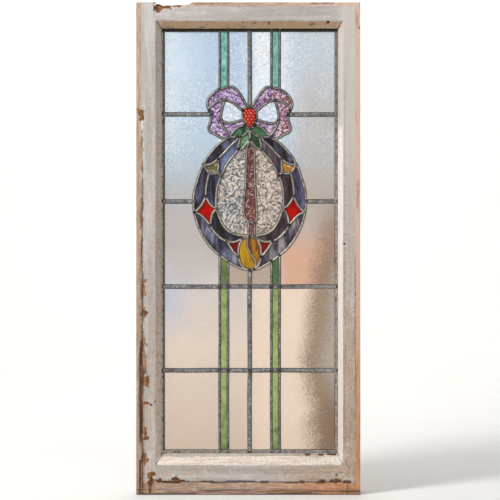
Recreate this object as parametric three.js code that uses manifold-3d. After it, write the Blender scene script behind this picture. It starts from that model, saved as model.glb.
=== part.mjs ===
// Leaded stained glass window in a painted timber sash.
// Millimetres, +Z up, +X to the right seen from the front, front face towards -Y.
// The origin is the middle of the underside.
import * as THREE from "three";
import { mergeVertices } from "three/addons/utils/BufferGeometryUtils.js";
import { ConvexGeometry } from "three/addons/geometries/ConvexGeometry.js";
import Module from "manifold-3d";

const wasm = await Module();
wasm.setup();

// Driving dimensions of the sash
const sashWidth = 393;
const sashHeight = 863;
const sashThickness = 44;
const leftStileFace = 35; // flat front face, outer edge to arris
const rightStileFace = 31;
const topRailFace = 33;
const bottomRailFace = 53.5;
const leftBevel = 9; // width of the sloped moulding
const rightBevel = 8;
const topBevel = 11.5;
const bottomBevel = 18;
const bevelDepth = 13;
const glazingRecess = 16; // front face to the tongue's back
const rebateWidth = 7.5;
const jointGap = 0.4; // between stile and rail
const tenonThickness = 14;
const tenonShoulder = 5; // wood of the rail above and below its tenon
const mortiseClearance = 0.3;

// Driving dimensions of the leaded panel
const panelLap = 5.3; // how far the panel reaches behind the wood
const glassThickness = 3;
const glassFloat = 0.3; // play of the glass in a came's channel
const flangeThickness = 1.2;
const heartThickness = 1.6;
const bedding = 0.3; // between tongue and lead, and round the putty
const edgeCameWidth = 10;
const barCameWidth = 7.5;
const stripCameWidth = 5;
const figureCameWidth = 4.4;
const beadCameWidth = 3.6; // round the berry and along the ribbon
const barShares = [0.194, 0.392, 0.593, 0.7985]; // of the sight height, from its foot
const stripInner = 38.3; // from the panel's middle line
const stripWidth = 14.6;
const figureShare = 0.4337; // bow and wreath together, of the sight height
const wreathBelowBar = 4.5; // middle of the wreath under the third bar from the foot
const leadOverrun = 1.2; // each lead runs on past the middle of the one it meets
const sharpestMitre = 0.5; // cosine that keeps a mitred corner from growing too long
const curveStep = 1.5; // spacing of the points that a curve is drawn with
const solderedGap = 60; // square millimetres: smaller gaps between leads are filled with solder
const sunk = 0.1; // heart and flanges run into each other
const flangeFacet = 0.45; // how far a straight facet may leave the true curve
const heartFacet = 1.2; // the same for what the front flanges hide

// Driving dimensions of the putty and of the damage
const puttyWidth = 6.5;
const puttyHeight = 12;
const breakStart = 30.5; // along the top rail, from the left edge of the sash
const breakLength = 69;
const breakDepth = 7;
const breakSlope = 11; // degrees, rising towards the back
const splitFoot = 66; // lowest point of the split in the left stile
const splitLength = 232;
const splitInset = 8; // from the left edge
const splitWidth = 7;
const splitDepth = 2;

const cutMargin = 3; // how far cutting shapes stand past what they cut
const cutOverlap = 0.2; // how far cutting shapes run into each other
const seamTolerance = 0.03; // seams left by the joins are taken out of flat faces

// Places that follow from the sizes above
const left = -sashWidth / 2;
const right = sashWidth / 2;
const front = -sashThickness / 2;
const back = sashThickness / 2;
const arris = {
  left: left + leftStileFace,
  right: right - rightStileFace,
  bottom: bottomRailFace,
  top: sashHeight - topRailFace,
};
const sight = {
  left: arris.left + leftBevel,
  right: arris.right - rightBevel,
  bottom: arris.bottom + bottomBevel,
  top: arris.top - topBevel,
};
const sightHeight = sight.top - sight.bottom;
const middleX = (sight.left + sight.right) / 2;
const barLevels = barShares.map((share) => sight.bottom + sightHeight * share);
const wreathMiddle = barLevels[2] - wreathBelowBar;
const leadFront = front + glazingRecess + bedding;
const glassFront = leadFront + flangeThickness + glassFloat;
const glassBack = glassFront + glassThickness;
const leadBack = glassBack + glassFloat + flangeThickness;

const paint = { color: 0xbdb8b0, roughness: 0.6, metalness: 0 };
const lead = { color: 0x77787a, roughness: 0.55, metalness: 0.6 };
const putty = { color: 0xa89f90, roughness: 0.9, metalness: 0 };
const glassColours = {
  clear: 0xd3d6d6,
  teal: 0x78c8b4,
  green: 0x78a555,
  lilac: 0x96788f,
  berry: 0xdc3c1e,
  slate: 0x42405a,
  amber: 0xb08020,
  red: 0xaa0f05,
  ribbon: 0x965550,
};

const sashWindow = new THREE.Group();

// Closed solid from a closed geometry
function solidOf(geometry) {
  const plain = geometry.clone();
  plain.deleteAttribute("normal");
  plain.deleteAttribute("uv");
  const merged = mergeVertices(plain, 1e-4);
  return new wasm.Manifold(
    new wasm.Mesh({
      numProp: 3,
      vertProperties: merged.attributes.position.array,
      triVerts: new Uint32Array(merged.index.array),
    }),
  );
}

// Names a solid and adds it to the window
function addPart(name, solid, look) {
  const made = solid.asOriginal().simplify(seamTolerance).getMesh();
  const geometry = new THREE.BufferGeometry();
  geometry.setAttribute("position", new THREE.BufferAttribute(made.vertProperties, 3));
  geometry.setIndex(new THREE.BufferAttribute(made.triVerts, 1));
  geometry.computeVertexNormals();
  const mesh = new THREE.Mesh(geometry, new THREE.MeshStandardMaterial(look));
  mesh.name = name;
  sashWindow.add(mesh);
}

const joined = (solids) => solids.reduce((sum, solid) => sum.add(solid));

// Flat plate with its outline in the X-Z plane, from one depth to another
function plate(outline, fromY, toY) {
  const shape = new THREE.Shape(outline.map(([x, z]) => new THREE.Vector2(x, z)));
  const geometry = new THREE.ExtrudeGeometry(shape, { depth: toY - fromY, bevelEnabled: false });
  geometry.rotateX(Math.PI / 2);
  geometry.translate(0, toY, 0);
  return solidOf(geometry);
}

const rectangle = (x0, x1, z0, z1) => [[x0, z0], [x1, z0], [x1, z1], [x0, z1]];

// The hole through the sash: sloped moulding, square edge and glazing rebate
function sashOpening() {
  const corners = [];
  for (const depth of [-cutMargin, bevelDepth]) {
    const share = depth / bevelDepth;
    const x0 = arris.left + leftBevel * share;
    const x1 = arris.right - rightBevel * share;
    const z0 = arris.bottom + bottomBevel * share;
    const z1 = arris.top - topBevel * share;
    for (const [x, z] of rectangle(x0, x1, z0, z1)) {
      corners.push(new THREE.Vector3(x, front + depth, z));
    }
  }
  const moulding = solidOf(new ConvexGeometry(corners));
  const edge = plate(
    rectangle(sight.left, sight.right, sight.bottom, sight.top),
    front + bevelDepth - cutOverlap,
    front + glazingRecess + cutOverlap,
  );
  const rebate = plate(
    rectangle(
      sight.left - rebateWidth,
      sight.right + rebateWidth,
      sight.bottom - rebateWidth,
      sight.top + rebateWidth,
    ),
    front + glazingRecess,
    back + cutMargin,
  );
  return joined([moulding, edge, rebate]);
}

// A tenon, or with a clearance the mortise that takes it, from one edge of the sash to the other
function tenonBar(z0, z1, clearance) {
  return plate(
    rectangle(left - clearance, right + clearance, z0 - clearance, z1 + clearance),
    -tenonThickness / 2 - clearance,
    tenonThickness / 2 + clearance,
  );
}

// A ragged strip broken off the top edge, sloping up towards the back
function brokenTopEdge() {
  const teeth = [
    [0, 0], [0.04, 0.62], [0.13, 0.45], [0.22, 1], [0.35, 0.8], [0.45, 0.93], [0.61, 0.7], [0.8, 0.86],
    [0.93, 0.5], [1, 0],
  ];
  const start = left + breakStart;
  const outline = teeth.map(([along, deep]) => [start + along * breakLength, -breakDepth * deep]);
  const clear = cutMargin + sashThickness * Math.tan(THREE.MathUtils.degToRad(breakSlope));
  outline.push([start + breakLength, clear], [start, clear]);
  const shape = new THREE.Shape(outline.map(([x, z]) => new THREE.Vector2(x, z)));
  const depth = sashThickness + 2 * cutMargin;
  const geometry = new THREE.ExtrudeGeometry(shape, { depth, bevelEnabled: false });
  geometry.rotateX(Math.PI / 2);
  geometry.translate(0, depth - cutMargin, 0);
  geometry.rotateX(THREE.MathUtils.degToRad(breakSlope));
  geometry.translate(0, front, sashHeight);
  return solidOf(geometry);
}

// The long split along the left stile's outer edge
function stileSplit() {
  const x = left + splitInset - splitWidth / 2;
  const shares = [[0.45, 0], [0.9, 0.12], [1, 0.35], [0.8, 0.6], [0.95, 0.8], [0.6, 1]];
  const outline = shares.map(([across, up]) => [x + splitWidth * across, splitFoot + splitLength * up]);
  outline.push([x + splitWidth * 0.3, splitFoot + splitLength * 0.9]);
  outline.push([x, splitFoot + splitLength * 0.5]);
  outline.push([x + splitWidth * 0.2, splitFoot + splitLength * 0.15]);
  return plate(outline, front - cutMargin, front + splitDepth);
}

function addSash() {
  const opening = sashOpening();
  const gap = jointGap;
  const topTenon = [arris.top + tenonShoulder, sashHeight - 2 * tenonShoulder];
  const bottomTenon = [tenonShoulder, arris.bottom - tenonShoulder];
  const mortises = joined([topTenon, bottomTenon].map(([z0, z1]) => tenonBar(z0, z1, mortiseClearance)));
  const stile = (outer, side) => plate(
    [
      [outer, 0],
      [arris[side], 0],
      [arris[side], arris.bottom],
      [sight[side], sight.bottom],
      [sight[side], sight.top],
      [arris[side], arris.top],
      [arris[side], sashHeight],
      [outer, sashHeight],
    ],
    front,
    back,
  ).subtract(opening).subtract(mortises);
  const rail = (edge, side, tenon) => plate(
    [
      [arris.left + gap, edge],
      [arris.left + gap, arris[side]],
      [sight.left + gap, sight[side]],
      [sight.right - gap, sight[side]],
      [arris.right - gap, arris[side]],
      [arris.right - gap, edge],
    ],
    front,
    back,
  ).subtract(opening).add(tenonBar(tenon[0], tenon[1], 0));
  addPart("left_stile", stile(left, "left").subtract(stileSplit()), paint);
  addPart("right_stile", stile(right, "right"), paint);
  addPart("top_rail", rail(sashHeight, "top", topTenon).subtract(brokenTopEdge()), paint);
  addPart("bottom_rail", rail(0, "bottom", bottomTenon), paint);
}

// Putty run round the back of the panel, sloped from the glass up the rebate
function addPutty() {
  const y0 = leadBack + bedding;
  const y1 = y0 + puttyHeight;
  const x0 = sight.left - rebateWidth + bedding;
  const x1 = sight.right + rebateWidth - bedding;
  const z0 = sight.bottom - rebateWidth + bedding;
  const z1 = sight.top + rebateWidth - bedding;
  const run = (corners) => solidOf(new ConvexGeometry(corners.map((p) => new THREE.Vector3(...p))));
  const side = (x, inward) => run([z0, z1].flatMap((z) => [
    [x, y0, z], [x + inward * puttyWidth, y0, z], [x, y1, z], [x + inward, y1, z],
  ]));
  const level = (z, inward) => run([x0, x1].flatMap((x) => [
    [x, y0, z], [x, y0, z + inward * puttyWidth], [x, y1, z], [x, y1, z + inward],
  ]));
  addPart("putty", joined([side(x0, 1), side(x1, -1), level(z0, 1), level(z1, -1)]), putty);
}

// The figure's lead lines, drawn for the right half: distance from the middle line and height
// above the wreath's middle, in millimetres at the height it was drawn
const drawnHeight = 324;
const figureLines = {
  bowOuter: [
    [2, 171.5], [7.4, 176], [11.3, 184], [16.5, 192.5], [23.2, 201], [31, 206.3], [40, 205.5],
    [50.5, 203.2], [60, 199], [68, 191.5], [73.3, 183.5], [75.1, 175.3], [73.5, 169], [71, 165],
  ],
  bowFold: [[73, 168.5], [65.5, 175], [59, 179.5], [51.8, 182], [44.5, 183]],
  loopTop: [[44.5, 183], [34, 180.4], [25.2, 175], [17.5, 168.2], [12, 165]],
  loopSide: [[44.5, 183], [48, 171], [50.3, 161], [51, 153], [50.3, 148]],
  loopFoot: [[50.3, 148], [46.5, 144.8], [38, 142.3], [29, 143.6], [20.5, 145.8], [11.5, 148.5]],
  bowTail: [
    [71, 165], [68.2, 161], [67.6, 152], [69.3, 144.7], [72.5, 135], [71.5, 129.6], [68.4, 126.2],
    [61, 122.8], [54.2, 118.5], [48, 115.4], [41, 115.7], [37.2, 119],
  ],
  bowDivider: [[50.3, 148], [49.1, 141.5], [46.3, 134.7], [42, 127.8], [35.5, 120]],
  leafTop: [[9, 138.8], [18.5, 136], [24.8, 131.3], [30, 125.5], [35.5, 120]],
  leafMiddle: [[1, 131.5], [7.8, 123.4], [13.2, 120], [20, 118.8], [29, 118.3], [37.2, 119]],
  leafOuter: [[16.5, 119], [18.3, 111], [19.8, 104.5], [20.5, 97]],
  leafFoot: [[20.5, 97], [14, 97.5], [10.5, 101], [7.4, 105], [3.5, 110], [0, 113]],
  leafStem: [[0, 113], [0.5, 122], [1, 131.5]],
  wreathOuter: [
    [38.5, 116.5], [48.5, 110.5], [57, 103.5], [65.6, 94.6], [73.3, 84.6], [79.7, 74.2], [84.8, 63.5],
    [91, 46], [95.5, 31], [98.6, 16], [99.3, 2], [98.5, -10], [95.6, -24], [88.8, -44], [79.5, -61],
    [70, -74.5], [60, -84.5], [48, -94], [32, -105], [15, -113.5], [0, -116.8],
  ],
  bandUpper: [[22.5, 118.8], [22.3, 113.5], [27.2, 109], [37.4, 99.8], [42, 94.2], [49, 86.8], [56, 80]],
  flowerTop: [[82, 69.8], [73.4, 69.5], [66.5, 72], [61, 75.5], [56, 80]],
  flowerInner: [[56, 80], [55.9, 74], [55.9, 65], [57.5, 56]],
  flowerFoot: [[81, 69.8], [77.8, 62.5], [73.5, 56.8], [67.5, 53.2], [62, 53.6], [57.5, 56]],
  flowerLink: [[57.5, 56], [50.8, 50]],
  oval: [
    [20.5, 97], [24.7, 90.2], [33.9, 79.7], [41.9, 68.5], [47.4, 57], [50.8, 50], [55, 39.2],
    [58.3, 26], [59.4, 12], [59.5, 3], [58.5, -7], [55.8, -16], [52.5, -25.5], [47.5, -36],
    [40.5, -45.5], [33, -50.6], [25, -53.5], [17, -55.2], [0, -56.5],
  ],
  bandMiddle: [[71.5, 55], [73.6, 47.5], [75.7, 38], [77.3, 27], [77.7, 13.5]],
  diamondOuter: [[77.7, 13.5], [80.3, 7], [84.5, -1], [90, -8], [97, -14.5]],
  diamondLower: [[97, -14.5], [87, -18.6], [79, -26], [69.7, -37]],
  diamondInner: [[69.7, -37], [68.2, -28], [66.8, -21.5], [64.5, -15.4], [57.5, -8]],
  diamondUpper: [[57.5, -8], [66, -3.6], [70.5, 1], [74, 7], [77.7, 13.5]],
  bandLower: [[69.7, -37], [67, -43], [62.5, -49], [57.8, -54], [52.5, -59], [46.5, -63], [40.5, -65.2]],
  wedgeTop: [[40.5, -65.2], [32, -66.8], [24.5, -66.2], [18.5, -63.8], [12.5, -60.5]],
  wedgeOuter: [[40.5, -65.2], [34, -76], [28.6, -84], [20, -93]],
  footPetal: [
    [0, -57.5], [6.5, -58.5], [12.5, -61.5], [16.5, -67.5], [18.8, -74], [20, -81], [20.1, -88],
    [19.3, -96], [17.5, -103], [14.5, -108.5], [9, -113.5], [0, -116.5],
  ],
};
const berryLine = [[0, 131], [5, 135.5], [10, 144], [12.7, 154], [12.3, 162], [8.5, 168.5], [0, 171]];
const singleLines = {
  ribbonLeft: [
    [-0.5, 113], [-4, 102], [-5.8, 90], [-6.3, 60], [-7, 32], [-9.5, 13], [-10.8, -8], [-10, -19],
    [-6.9, -26.5], [0, -31.5], [8, -33.5],
  ],
  ribbonRight: [
    [-0.5, 113], [4.5, 103], [7.6, 93], [8.6, 65], [9.3, 39], [10.6, 17], [11.8, -3.5], [12.2, -17.6],
    [11, -27], [8, -33.5],
  ],
  tailLeft: [[-2, -30.5], [-2.3, -44], [-2.5, -56.5]],
  tailRight: [[8.2, -33.5], [8.7, -45], [8.6, -56]],
  petalDivider: [
    [-2.8, -58], [-4.6, -68], [-3.2, -77], [0.9, -86], [6, -93.5], [10, -100], [10.5, -107], [8, -115],
  ],
};

const figureScale = (sightHeight * figureShare) / drawnHeight;
const placed = ([u, w]) => new THREE.Vector2(
  middleX + u * figureScale,
  wreathMiddle + w * figureScale,
);
const mirrored = (points) => points.map(([u, w]) => [-u, w]);

// A smooth curve through the drawn points, run on a little at both ends
function smoothLine(points, overrun = leadOverrun) {
  const places = points.map(placed);
  const curve = new THREE.CatmullRomCurve3(
    places.map((p) => new THREE.Vector3(p.x, p.y, 0)),
    false,
    "centripetal",
  );
  const steps = Math.ceil(curve.getLength() / curveStep);
  const line = curve.getSpacedPoints(steps).map((p) => new THREE.Vector2(p.x, p.y));
  for (const [end, beside] of [[0, 1], [steps, steps - 1]]) {
    const away = line[end].clone().sub(line[beside]).setLength(overrun);
    line[end].add(away);
  }
  return line;
}

// Fewest points of a line that leave it by no more than the facet error
function faceted(line, error) {
  if (line.length < 3) return line;
  const start = line[0];
  const chord = line[line.length - 1].clone().sub(start);
  let worst = 0;
  let worstAt = 0;
  for (let i = 1; i < line.length - 1; i += 1) {
    const offset = line[i].clone().sub(start);
    const along = THREE.MathUtils.clamp(offset.dot(chord) / chord.lengthSq(), 0, 1);
    const distance = offset.sub(chord.clone().multiplyScalar(along)).length();
    if (distance > worst) {
      worst = distance;
      worstAt = i;
    }
  }
  if (worst <= error) return [start, line[line.length - 1]];
  const before = faceted(line.slice(0, worstAt + 1), error);
  const after = faceted(line.slice(worstAt), error);
  return before.slice(0, -1).concat(after);
}

// Outline of a strip of even width along a line, mitred at each point
function stripOutline(line, width) {
  const sides = [[], []];
  for (let i = 0; i < line.length; i += 1) {
    const before = line[Math.max(i - 1, 0)];
    const after = line[Math.min(i + 1, line.length - 1)];
    const into = line[i].clone().sub(i ? before : line[i].clone().sub(after).add(line[i])).normalize();
    const out = i < line.length - 1 ? after.clone().sub(line[i]).normalize() : into.clone();
    const along = into.clone().add(out).normalize();
    const reach = width / 2 / Math.max(along.dot(out), sharpestMitre);
    const across = new THREE.Vector2(-along.y, along.x).multiplyScalar(reach);
    sides[0].push(line[i].clone().add(across));
    sides[1].unshift(line[i].clone().sub(across));
  }
  return sides.flat().map((p) => [p.x, p.y]);
}

// Outline of the wreath and of the bow, where the straight cames stop
function figureOutlines() {
  const wreath = smoothLine([[0, 118], [30, 118.3], ...figureLines.wreathOuter], 0);
  const bow = smoothLine([...figureLines.bowOuter, ...figureLines.bowTail.slice(1, -1)], 0);
  const whole = (half) => {
    const other = half.map((p) => new THREE.Vector2(2 * middleX - p.x, p.y)).reverse();
    return faceted(half, heartFacet).concat(faceted(other, heartFacet)).map((p) => [p.x, p.y]);
  };
  return [whole(wreath), whole(bow)];
}

// Every came as its middle line, its width and whether it stops at the figure
function cameLines() {
  const cames = [];
  const add = (line, width, stops = false) => cames.push({ line, width, stops });
  const straight = (x0, z0, x1, z1, width, stops) => add(
    [new THREE.Vector2(x0, z0), new THREE.Vector2(x1, z1)],
    width,
    stops,
  );
  const reach = panelLap - edgeCameWidth / 2;
  const x0 = sight.left - reach;
  const x1 = sight.right + reach;
  const z0 = sight.bottom - reach;
  const z1 = sight.top + reach;
  const half = edgeCameWidth / 2;
  for (const x of [x0, x1]) straight(x, z0 - half, x, z1 + half, edgeCameWidth);
  for (const z of [z0, z1]) straight(x0 - half, z, x1 + half, z, edgeCameWidth);
  for (const z of barLevels) straight(x0, z, x1, z, barCameWidth, true);
  straight(middleX, z0, middleX, z1, barCameWidth, true);
  for (const side of [-1, 1]) {
    for (const offset of [stripInner, stripInner + stripWidth]) {
      straight(middleX + side * offset, z0, middleX + side * offset, z1, stripCameWidth, true);
    }
  }
  for (const points of Object.values(figureLines)) {
    add(smoothLine(points), figureCameWidth);
    add(smoothLine(mirrored(points)), figureCameWidth);
  }
  add(smoothLine(berryLine), beadCameWidth);
  add(smoothLine(mirrored(berryLine)), beadCameWidth);
  for (const points of Object.values(singleLines)) add(smoothLine(points), beadCameWidth);
  return cames;
}

// All cames as flat strips of one layer, with the straight ones stopped at the figure
function cameLayer(cames, fromY, toY, widthOf, facet) {
  const strips = (stops) => joined(
    cames.filter((came) => came.stops === stops).map((came) => {
      const line = faceted(came.line, facet);
      return plate(stripOutline(line, widthOf(came)), fromY, toY);
    }),
  );
  const figure = joined(
    figureOutlines().map((outline) => plate(outline, fromY - cutMargin, toY + cutMargin)),
  );
  return strips(true).subtract(figure).add(strips(false));
}

// The panel's plain sheet between its edge cames, from one depth to another
function panelSheet(fromY, toY) {
  const reach = panelLap - edgeCameWidth / 2;
  return plate(
    rectangle(sight.left - reach, sight.right + reach, sight.bottom - reach, sight.top + reach),
    fromY,
    toY,
  );
}

function addLead(cames) {
  const heartFront = leadFront + flangeThickness - sunk;
  const heartBack = leadBack - flangeThickness + sunk;
  const flange = (fromY, facet) => cameLayer(
    cames,
    fromY,
    fromY + flangeThickness,
    (came) => came.width,
    facet,
  );
  const heart = cameLayer(cames, heartFront, heartBack, () => heartThickness, heartFacet);
  const solder = panelSheet(heartFront, heartBack).subtract(heart).decompose()
    .filter((gap) => gap.volume() < solderedGap * (heartBack - heartFront));
  const rear = flange(leadBack - flangeThickness, heartFacet);
  const net = joined([flange(leadFront, flangeFacet), rear, heart, ...solder]);
  addPart("lead_cames", net, lead);
}

// Glass pieces of the figure by name: a spot on the piece, in the figure's own measures, and its
// colour. Each one of the first list has its twin on the left.
const figureGlass = {
  bow_arch: { spot: [56, 192], colour: "lilac" },
  bow_loop: { spot: [35, 160], colour: "clear" },
  bow_column: { spot: [59, 150], colour: "lilac" },
  bow_tail: { spot: [30, 136], colour: "lilac" },
  wreath_top_outer: { spot: [62, 92], colour: "slate" },
  wreath_top_inner: { spot: [34, 94], colour: "slate" },
  wreath_side_outer: { spot: [85, 30], colour: "slate" },
  wreath_side_inner: { spot: [66, 30], colour: "slate" },
  wreath_foot_outer: { spot: [60, -73], colour: "slate" },
  wreath_foot_inner: { spot: [48, -52], colour: "slate" },
  wreath_diamond: { spot: [76, -10], colour: "red" },
  oval_half: { spot: [35, 10], colour: "clear" },
};
const singleGlass = {
  berry: { spot: [0, 152], colour: "berry" },
  ribbon: { spot: [1, 30], colour: "ribbon" },
  foot_petal_left: { spot: [-12, -90], colour: "amber" },
  foot_petal_right: { spot: [11, -75], colour: "amber" },
};

// Background rows from the top: the colour of their strips, and how far up the row the figure
// leaves strips and inner panes free
const paneRows = [
  { row: 1, strips: "teal", spotUp: 0.9 },
  { row: 2, strips: null, spotUp: 0.5 },
  { row: 3, strips: "green", spotUp: 0.1 },
  { row: 4, strips: "green", spotUp: 0.5 },
  { row: 5, strips: "green", spotUp: 0.5 },
];

// Whether a solid's front face covers a spot in the X-Z plane
function covers(solid, spot) {
  const made = solid.getMesh();
  const corner = (i) => new THREE.Vector3(...made.vertProperties.slice(3 * i, 3 * i + 3));
  const point = new THREE.Vector3(spot.x, spot.y, 0);
  for (let t = 0; t < made.triVerts.length; t += 3) {
    const corners = [0, 1, 2].map((k) => corner(made.triVerts[t + k]));
    if (corners.some((c) => c.y > glassFront + seamTolerance)) continue;
    const flat = corners.map((c) => new THREE.Vector3(c.x, c.z, 0));
    if (new THREE.Triangle(...flat).containsPoint(point)) return true;
  }
  return false;
}

function addGlass(cames) {
  const channels = cameLayer(
    cames,
    glassFront - cutMargin,
    glassBack + cutMargin,
    () => heartThickness + 2 * glassFloat,
    heartFacet,
  );
  const pieces = panelSheet(glassFront, glassBack).subtract(channels).decompose();
  const addPane = (name, spot, colour) => {
    const found = pieces.filter((piece) => covers(piece, spot));
    if (found.length !== 1) throw new Error(`${found.length} pieces of glass at ${name}`);
    addPart(name, found[0], { color: glassColours[colour], roughness: 0.15, metalness: 0 });
  };
  for (const [name, { spot, colour }] of Object.entries(figureGlass)) {
    addPane(`${name}_left`, placed([-spot[0], spot[1]]), colour);
    addPane(`${name}_right`, placed(spot), colour);
  }
  for (const [name, { spot, colour }] of Object.entries(singleGlass)) {
    addPane(name, placed(spot), colour);
  }
  const levels = [sight.bottom, ...barLevels, sight.top];
  const besideStrips = (stripInner + stripWidth + sight.right - middleX) / 2;
  for (const { row, strips, spotUp } of paneRows) {
    const level = levels[paneRows.length - row];
    const height = levels[paneRows.length - row + 1] - level;
    for (const [side, way] of [["left", -1], ["right", 1]]) {
      const spot = (across, up) => new THREE.Vector2(middleX + way * across, level + height * up);
      addPane(`pane_row_${row}_${side}`, spot(besideStrips, 0.5), "clear");
      if (!strips) continue;
      addPane(`strip_row_${row}_${side}`, spot(stripInner + stripWidth / 2, spotUp), strips);
      addPane(`pane_row_${row}_inner_${side}`, spot(stripInner / 2, spotUp), "clear");
    }
  }
}

const cames = cameLines();
addSash();
addPutty();
addLead(cames);
addGlass(cames);

export default sashWindow;
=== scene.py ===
import math
import bpy
import numpy as np
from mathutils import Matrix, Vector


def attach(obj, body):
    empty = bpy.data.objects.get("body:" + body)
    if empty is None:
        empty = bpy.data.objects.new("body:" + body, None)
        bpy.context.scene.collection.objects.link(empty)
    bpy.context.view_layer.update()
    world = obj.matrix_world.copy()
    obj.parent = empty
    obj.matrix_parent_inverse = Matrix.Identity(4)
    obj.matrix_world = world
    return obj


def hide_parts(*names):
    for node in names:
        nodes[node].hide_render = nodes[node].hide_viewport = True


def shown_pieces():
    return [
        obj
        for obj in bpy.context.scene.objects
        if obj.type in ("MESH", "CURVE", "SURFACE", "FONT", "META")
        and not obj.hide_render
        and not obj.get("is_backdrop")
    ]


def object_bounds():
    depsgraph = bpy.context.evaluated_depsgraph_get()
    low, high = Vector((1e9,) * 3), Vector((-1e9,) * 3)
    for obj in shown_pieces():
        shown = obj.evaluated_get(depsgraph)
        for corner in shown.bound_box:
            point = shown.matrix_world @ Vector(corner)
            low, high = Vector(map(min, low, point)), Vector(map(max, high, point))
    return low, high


# Leaded stained glass window in a painted timber sash, dressed round the fixed frame.
# Sizes are in millimetres and become metres where a mesh is written.

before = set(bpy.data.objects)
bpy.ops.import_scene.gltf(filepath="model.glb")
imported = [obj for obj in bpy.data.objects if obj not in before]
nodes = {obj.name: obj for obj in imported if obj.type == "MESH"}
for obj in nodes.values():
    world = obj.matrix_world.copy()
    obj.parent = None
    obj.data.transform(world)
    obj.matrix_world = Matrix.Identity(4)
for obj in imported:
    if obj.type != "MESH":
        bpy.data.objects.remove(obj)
cadLow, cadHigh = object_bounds()
mm = 0.001

# Places of the sash that the pieces share
sash = {
    "left": cadLow.x / mm,
    "right": cadHigh.x / mm,
    "front": cadLow.y / mm,
    "back": cadHigh.y / mm,
    "top": cadHigh.z / mm,
    "arrisLeft": -161.5,
    "arrisRight": 165.5,
    "arrisBottom": 53.5,
    "arrisTop": 830.0,
    "sightLeft": -152.5,
    "sightRight": 157.5,
    "sightBottom": 71.5,
    "sightTop": 818.5,
    "middle": 2.5,
    "leadMiddle": -2.7,
    "glassFront": -4.2,
    "glassBack": -1.2,
}
sightHeight = sash["sightTop"] - sash["sightBottom"]
barLevels = [sash["sightBottom"] + sightHeight * share for share in (0.194, 0.392, 0.593, 0.7985)]
figureMiddle = barLevels[2] - 4.5


# Small tools

def activate(piece):
    for other in bpy.context.selected_objects:
        other.select_set(False)
    piece.select_set(True)
    bpy.context.view_layer.objects.active = piece


def copyOf(nodeName, pieceName):
    # a CAD node's mesh as a piece of its own, merged
    piece = bpy.data.objects.new(pieceName, nodes[nodeName].data.copy())
    bpy.context.scene.collection.objects.link(piece)
    piece.data.materials.clear()
    activate(piece)
    startEditing()
    bpy.ops.mesh.remove_doubles(threshold=0.01 * mm)
    bpy.ops.object.mode_set(mode="OBJECT")
    return piece


def startEditing():
    bpy.ops.object.mode_set(mode="EDIT")
    bpy.ops.mesh.select_all(action="SELECT")


def remesh(piece, voxel):
    activate(piece)
    grid = piece.modifiers.new("grid", "REMESH")
    grid.mode = "VOXEL"
    grid.voxel_size = voxel * mm
    bpy.ops.object.modifier_apply(modifier="grid")


def readPoints(piece):
    flat = np.empty(len(piece.data.vertices) * 3)
    piece.data.vertices.foreach_get("co", flat)
    return flat.reshape(-1, 3) / mm


def writePoints(piece, points):
    piece.data.vertices.foreach_set("co", (points * mm).ravel())
    piece.data.update()


def readNormals(piece):
    flat = np.empty(len(piece.data.vertices) * 3)
    piece.data.vertices.foreach_get("normal", flat)
    return flat.reshape(-1, 3)


def writeColours(piece, name, channels):
    # four channels of masks, one value a vertex
    layer = piece.data.attributes.new(name, "FLOAT_COLOR", "POINT")
    count = len(piece.data.vertices)
    values = np.stack([np.broadcast_to(channel, count) for channel in channels], axis=1)
    layer.data.foreach_set("color", np.clip(values, 0, 1).astype(np.float32).ravel())


def finishPiece(piece, material, replaced=()):
    piece.data.materials.clear()
    piece.data.materials.append(material)
    activate(piece)
    bpy.ops.object.shade_smooth_by_angle(angle=math.radians(40))
    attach(piece, "root")
    if replaced:
        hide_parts(*replaced)


def smooth(low, high, values):
    share = np.clip((values - low) / (high - low), 0, 1)
    return share * share * (3 - 2 * share)


def scramble(cells, seed):
    # one repeatable number from 0 to 1 for each whole-numbered cell
    cells = cells.astype(np.int64)
    mixed = cells[:, 0] * 73856093 ^ cells[:, 1] * 19349663 ^ cells[:, 2] * 83492791
    mixed = (mixed + seed * 374761393) & 0xFFFFFFFF
    mixed = ((mixed ^ (mixed >> 15)) * 2246822519) & 0xFFFFFFFF
    mixed = ((mixed ^ (mixed >> 13)) * 3266489917) & 0xFFFFFFFF
    return ((mixed ^ (mixed >> 16)) & 0xFFFF) / 0xFFFF


def softNoise(points, size, seed=0):
    # smooth lumps about one size across, from 0 to 1; size may differ by axis
    spots = points / np.asarray(size, float)
    base = np.floor(spots)
    part = spots - base
    part = part * part * (3 - 2 * part)
    total = np.zeros(len(points))
    for corner in np.ndindex(2, 2, 2):
        weight = np.prod(np.where(corner, part, 1 - part), axis=1)
        total += weight * scramble(base + corner, seed)
    return total


def roughNoise(points, size, seed=0):
    sizes = np.asarray(size, float)
    layers = [(1.0, 0.5), (0.5, 0.3), (0.25, 0.2)]
    return sum(
        share * softNoise(points, sizes * scale, seed + i) for i, (scale, share) in enumerate(layers)
    )


def cellNoise(points, size, seed=0):
    # flat cells in the X-Z plane: distance to the nearest edge and a value for each cell
    flat = points[:, [0, 2]] / size
    base = np.floor(flat)
    nearest = np.full(len(points), 9.0)
    second = np.full(len(points), 9.0)
    value = np.zeros(len(points))
    for stepX in (-1, 0, 1):
        for stepZ in (-1, 0, 1):
            cell = base + (stepX, stepZ)
            padded = np.column_stack([cell, np.zeros(len(cell))])
            spot = cell + np.column_stack([scramble(padded, seed), scramble(padded, seed + 1)])
            distance = np.linalg.norm(flat - spot, axis=1)
            closer = distance < nearest
            second = np.where(closer, nearest, np.minimum(second, distance))
            value = np.where(closer, scramble(padded, seed + 2), value)
            nearest = np.minimum(nearest, distance)
    return second - nearest, value


# Shader tools

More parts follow.
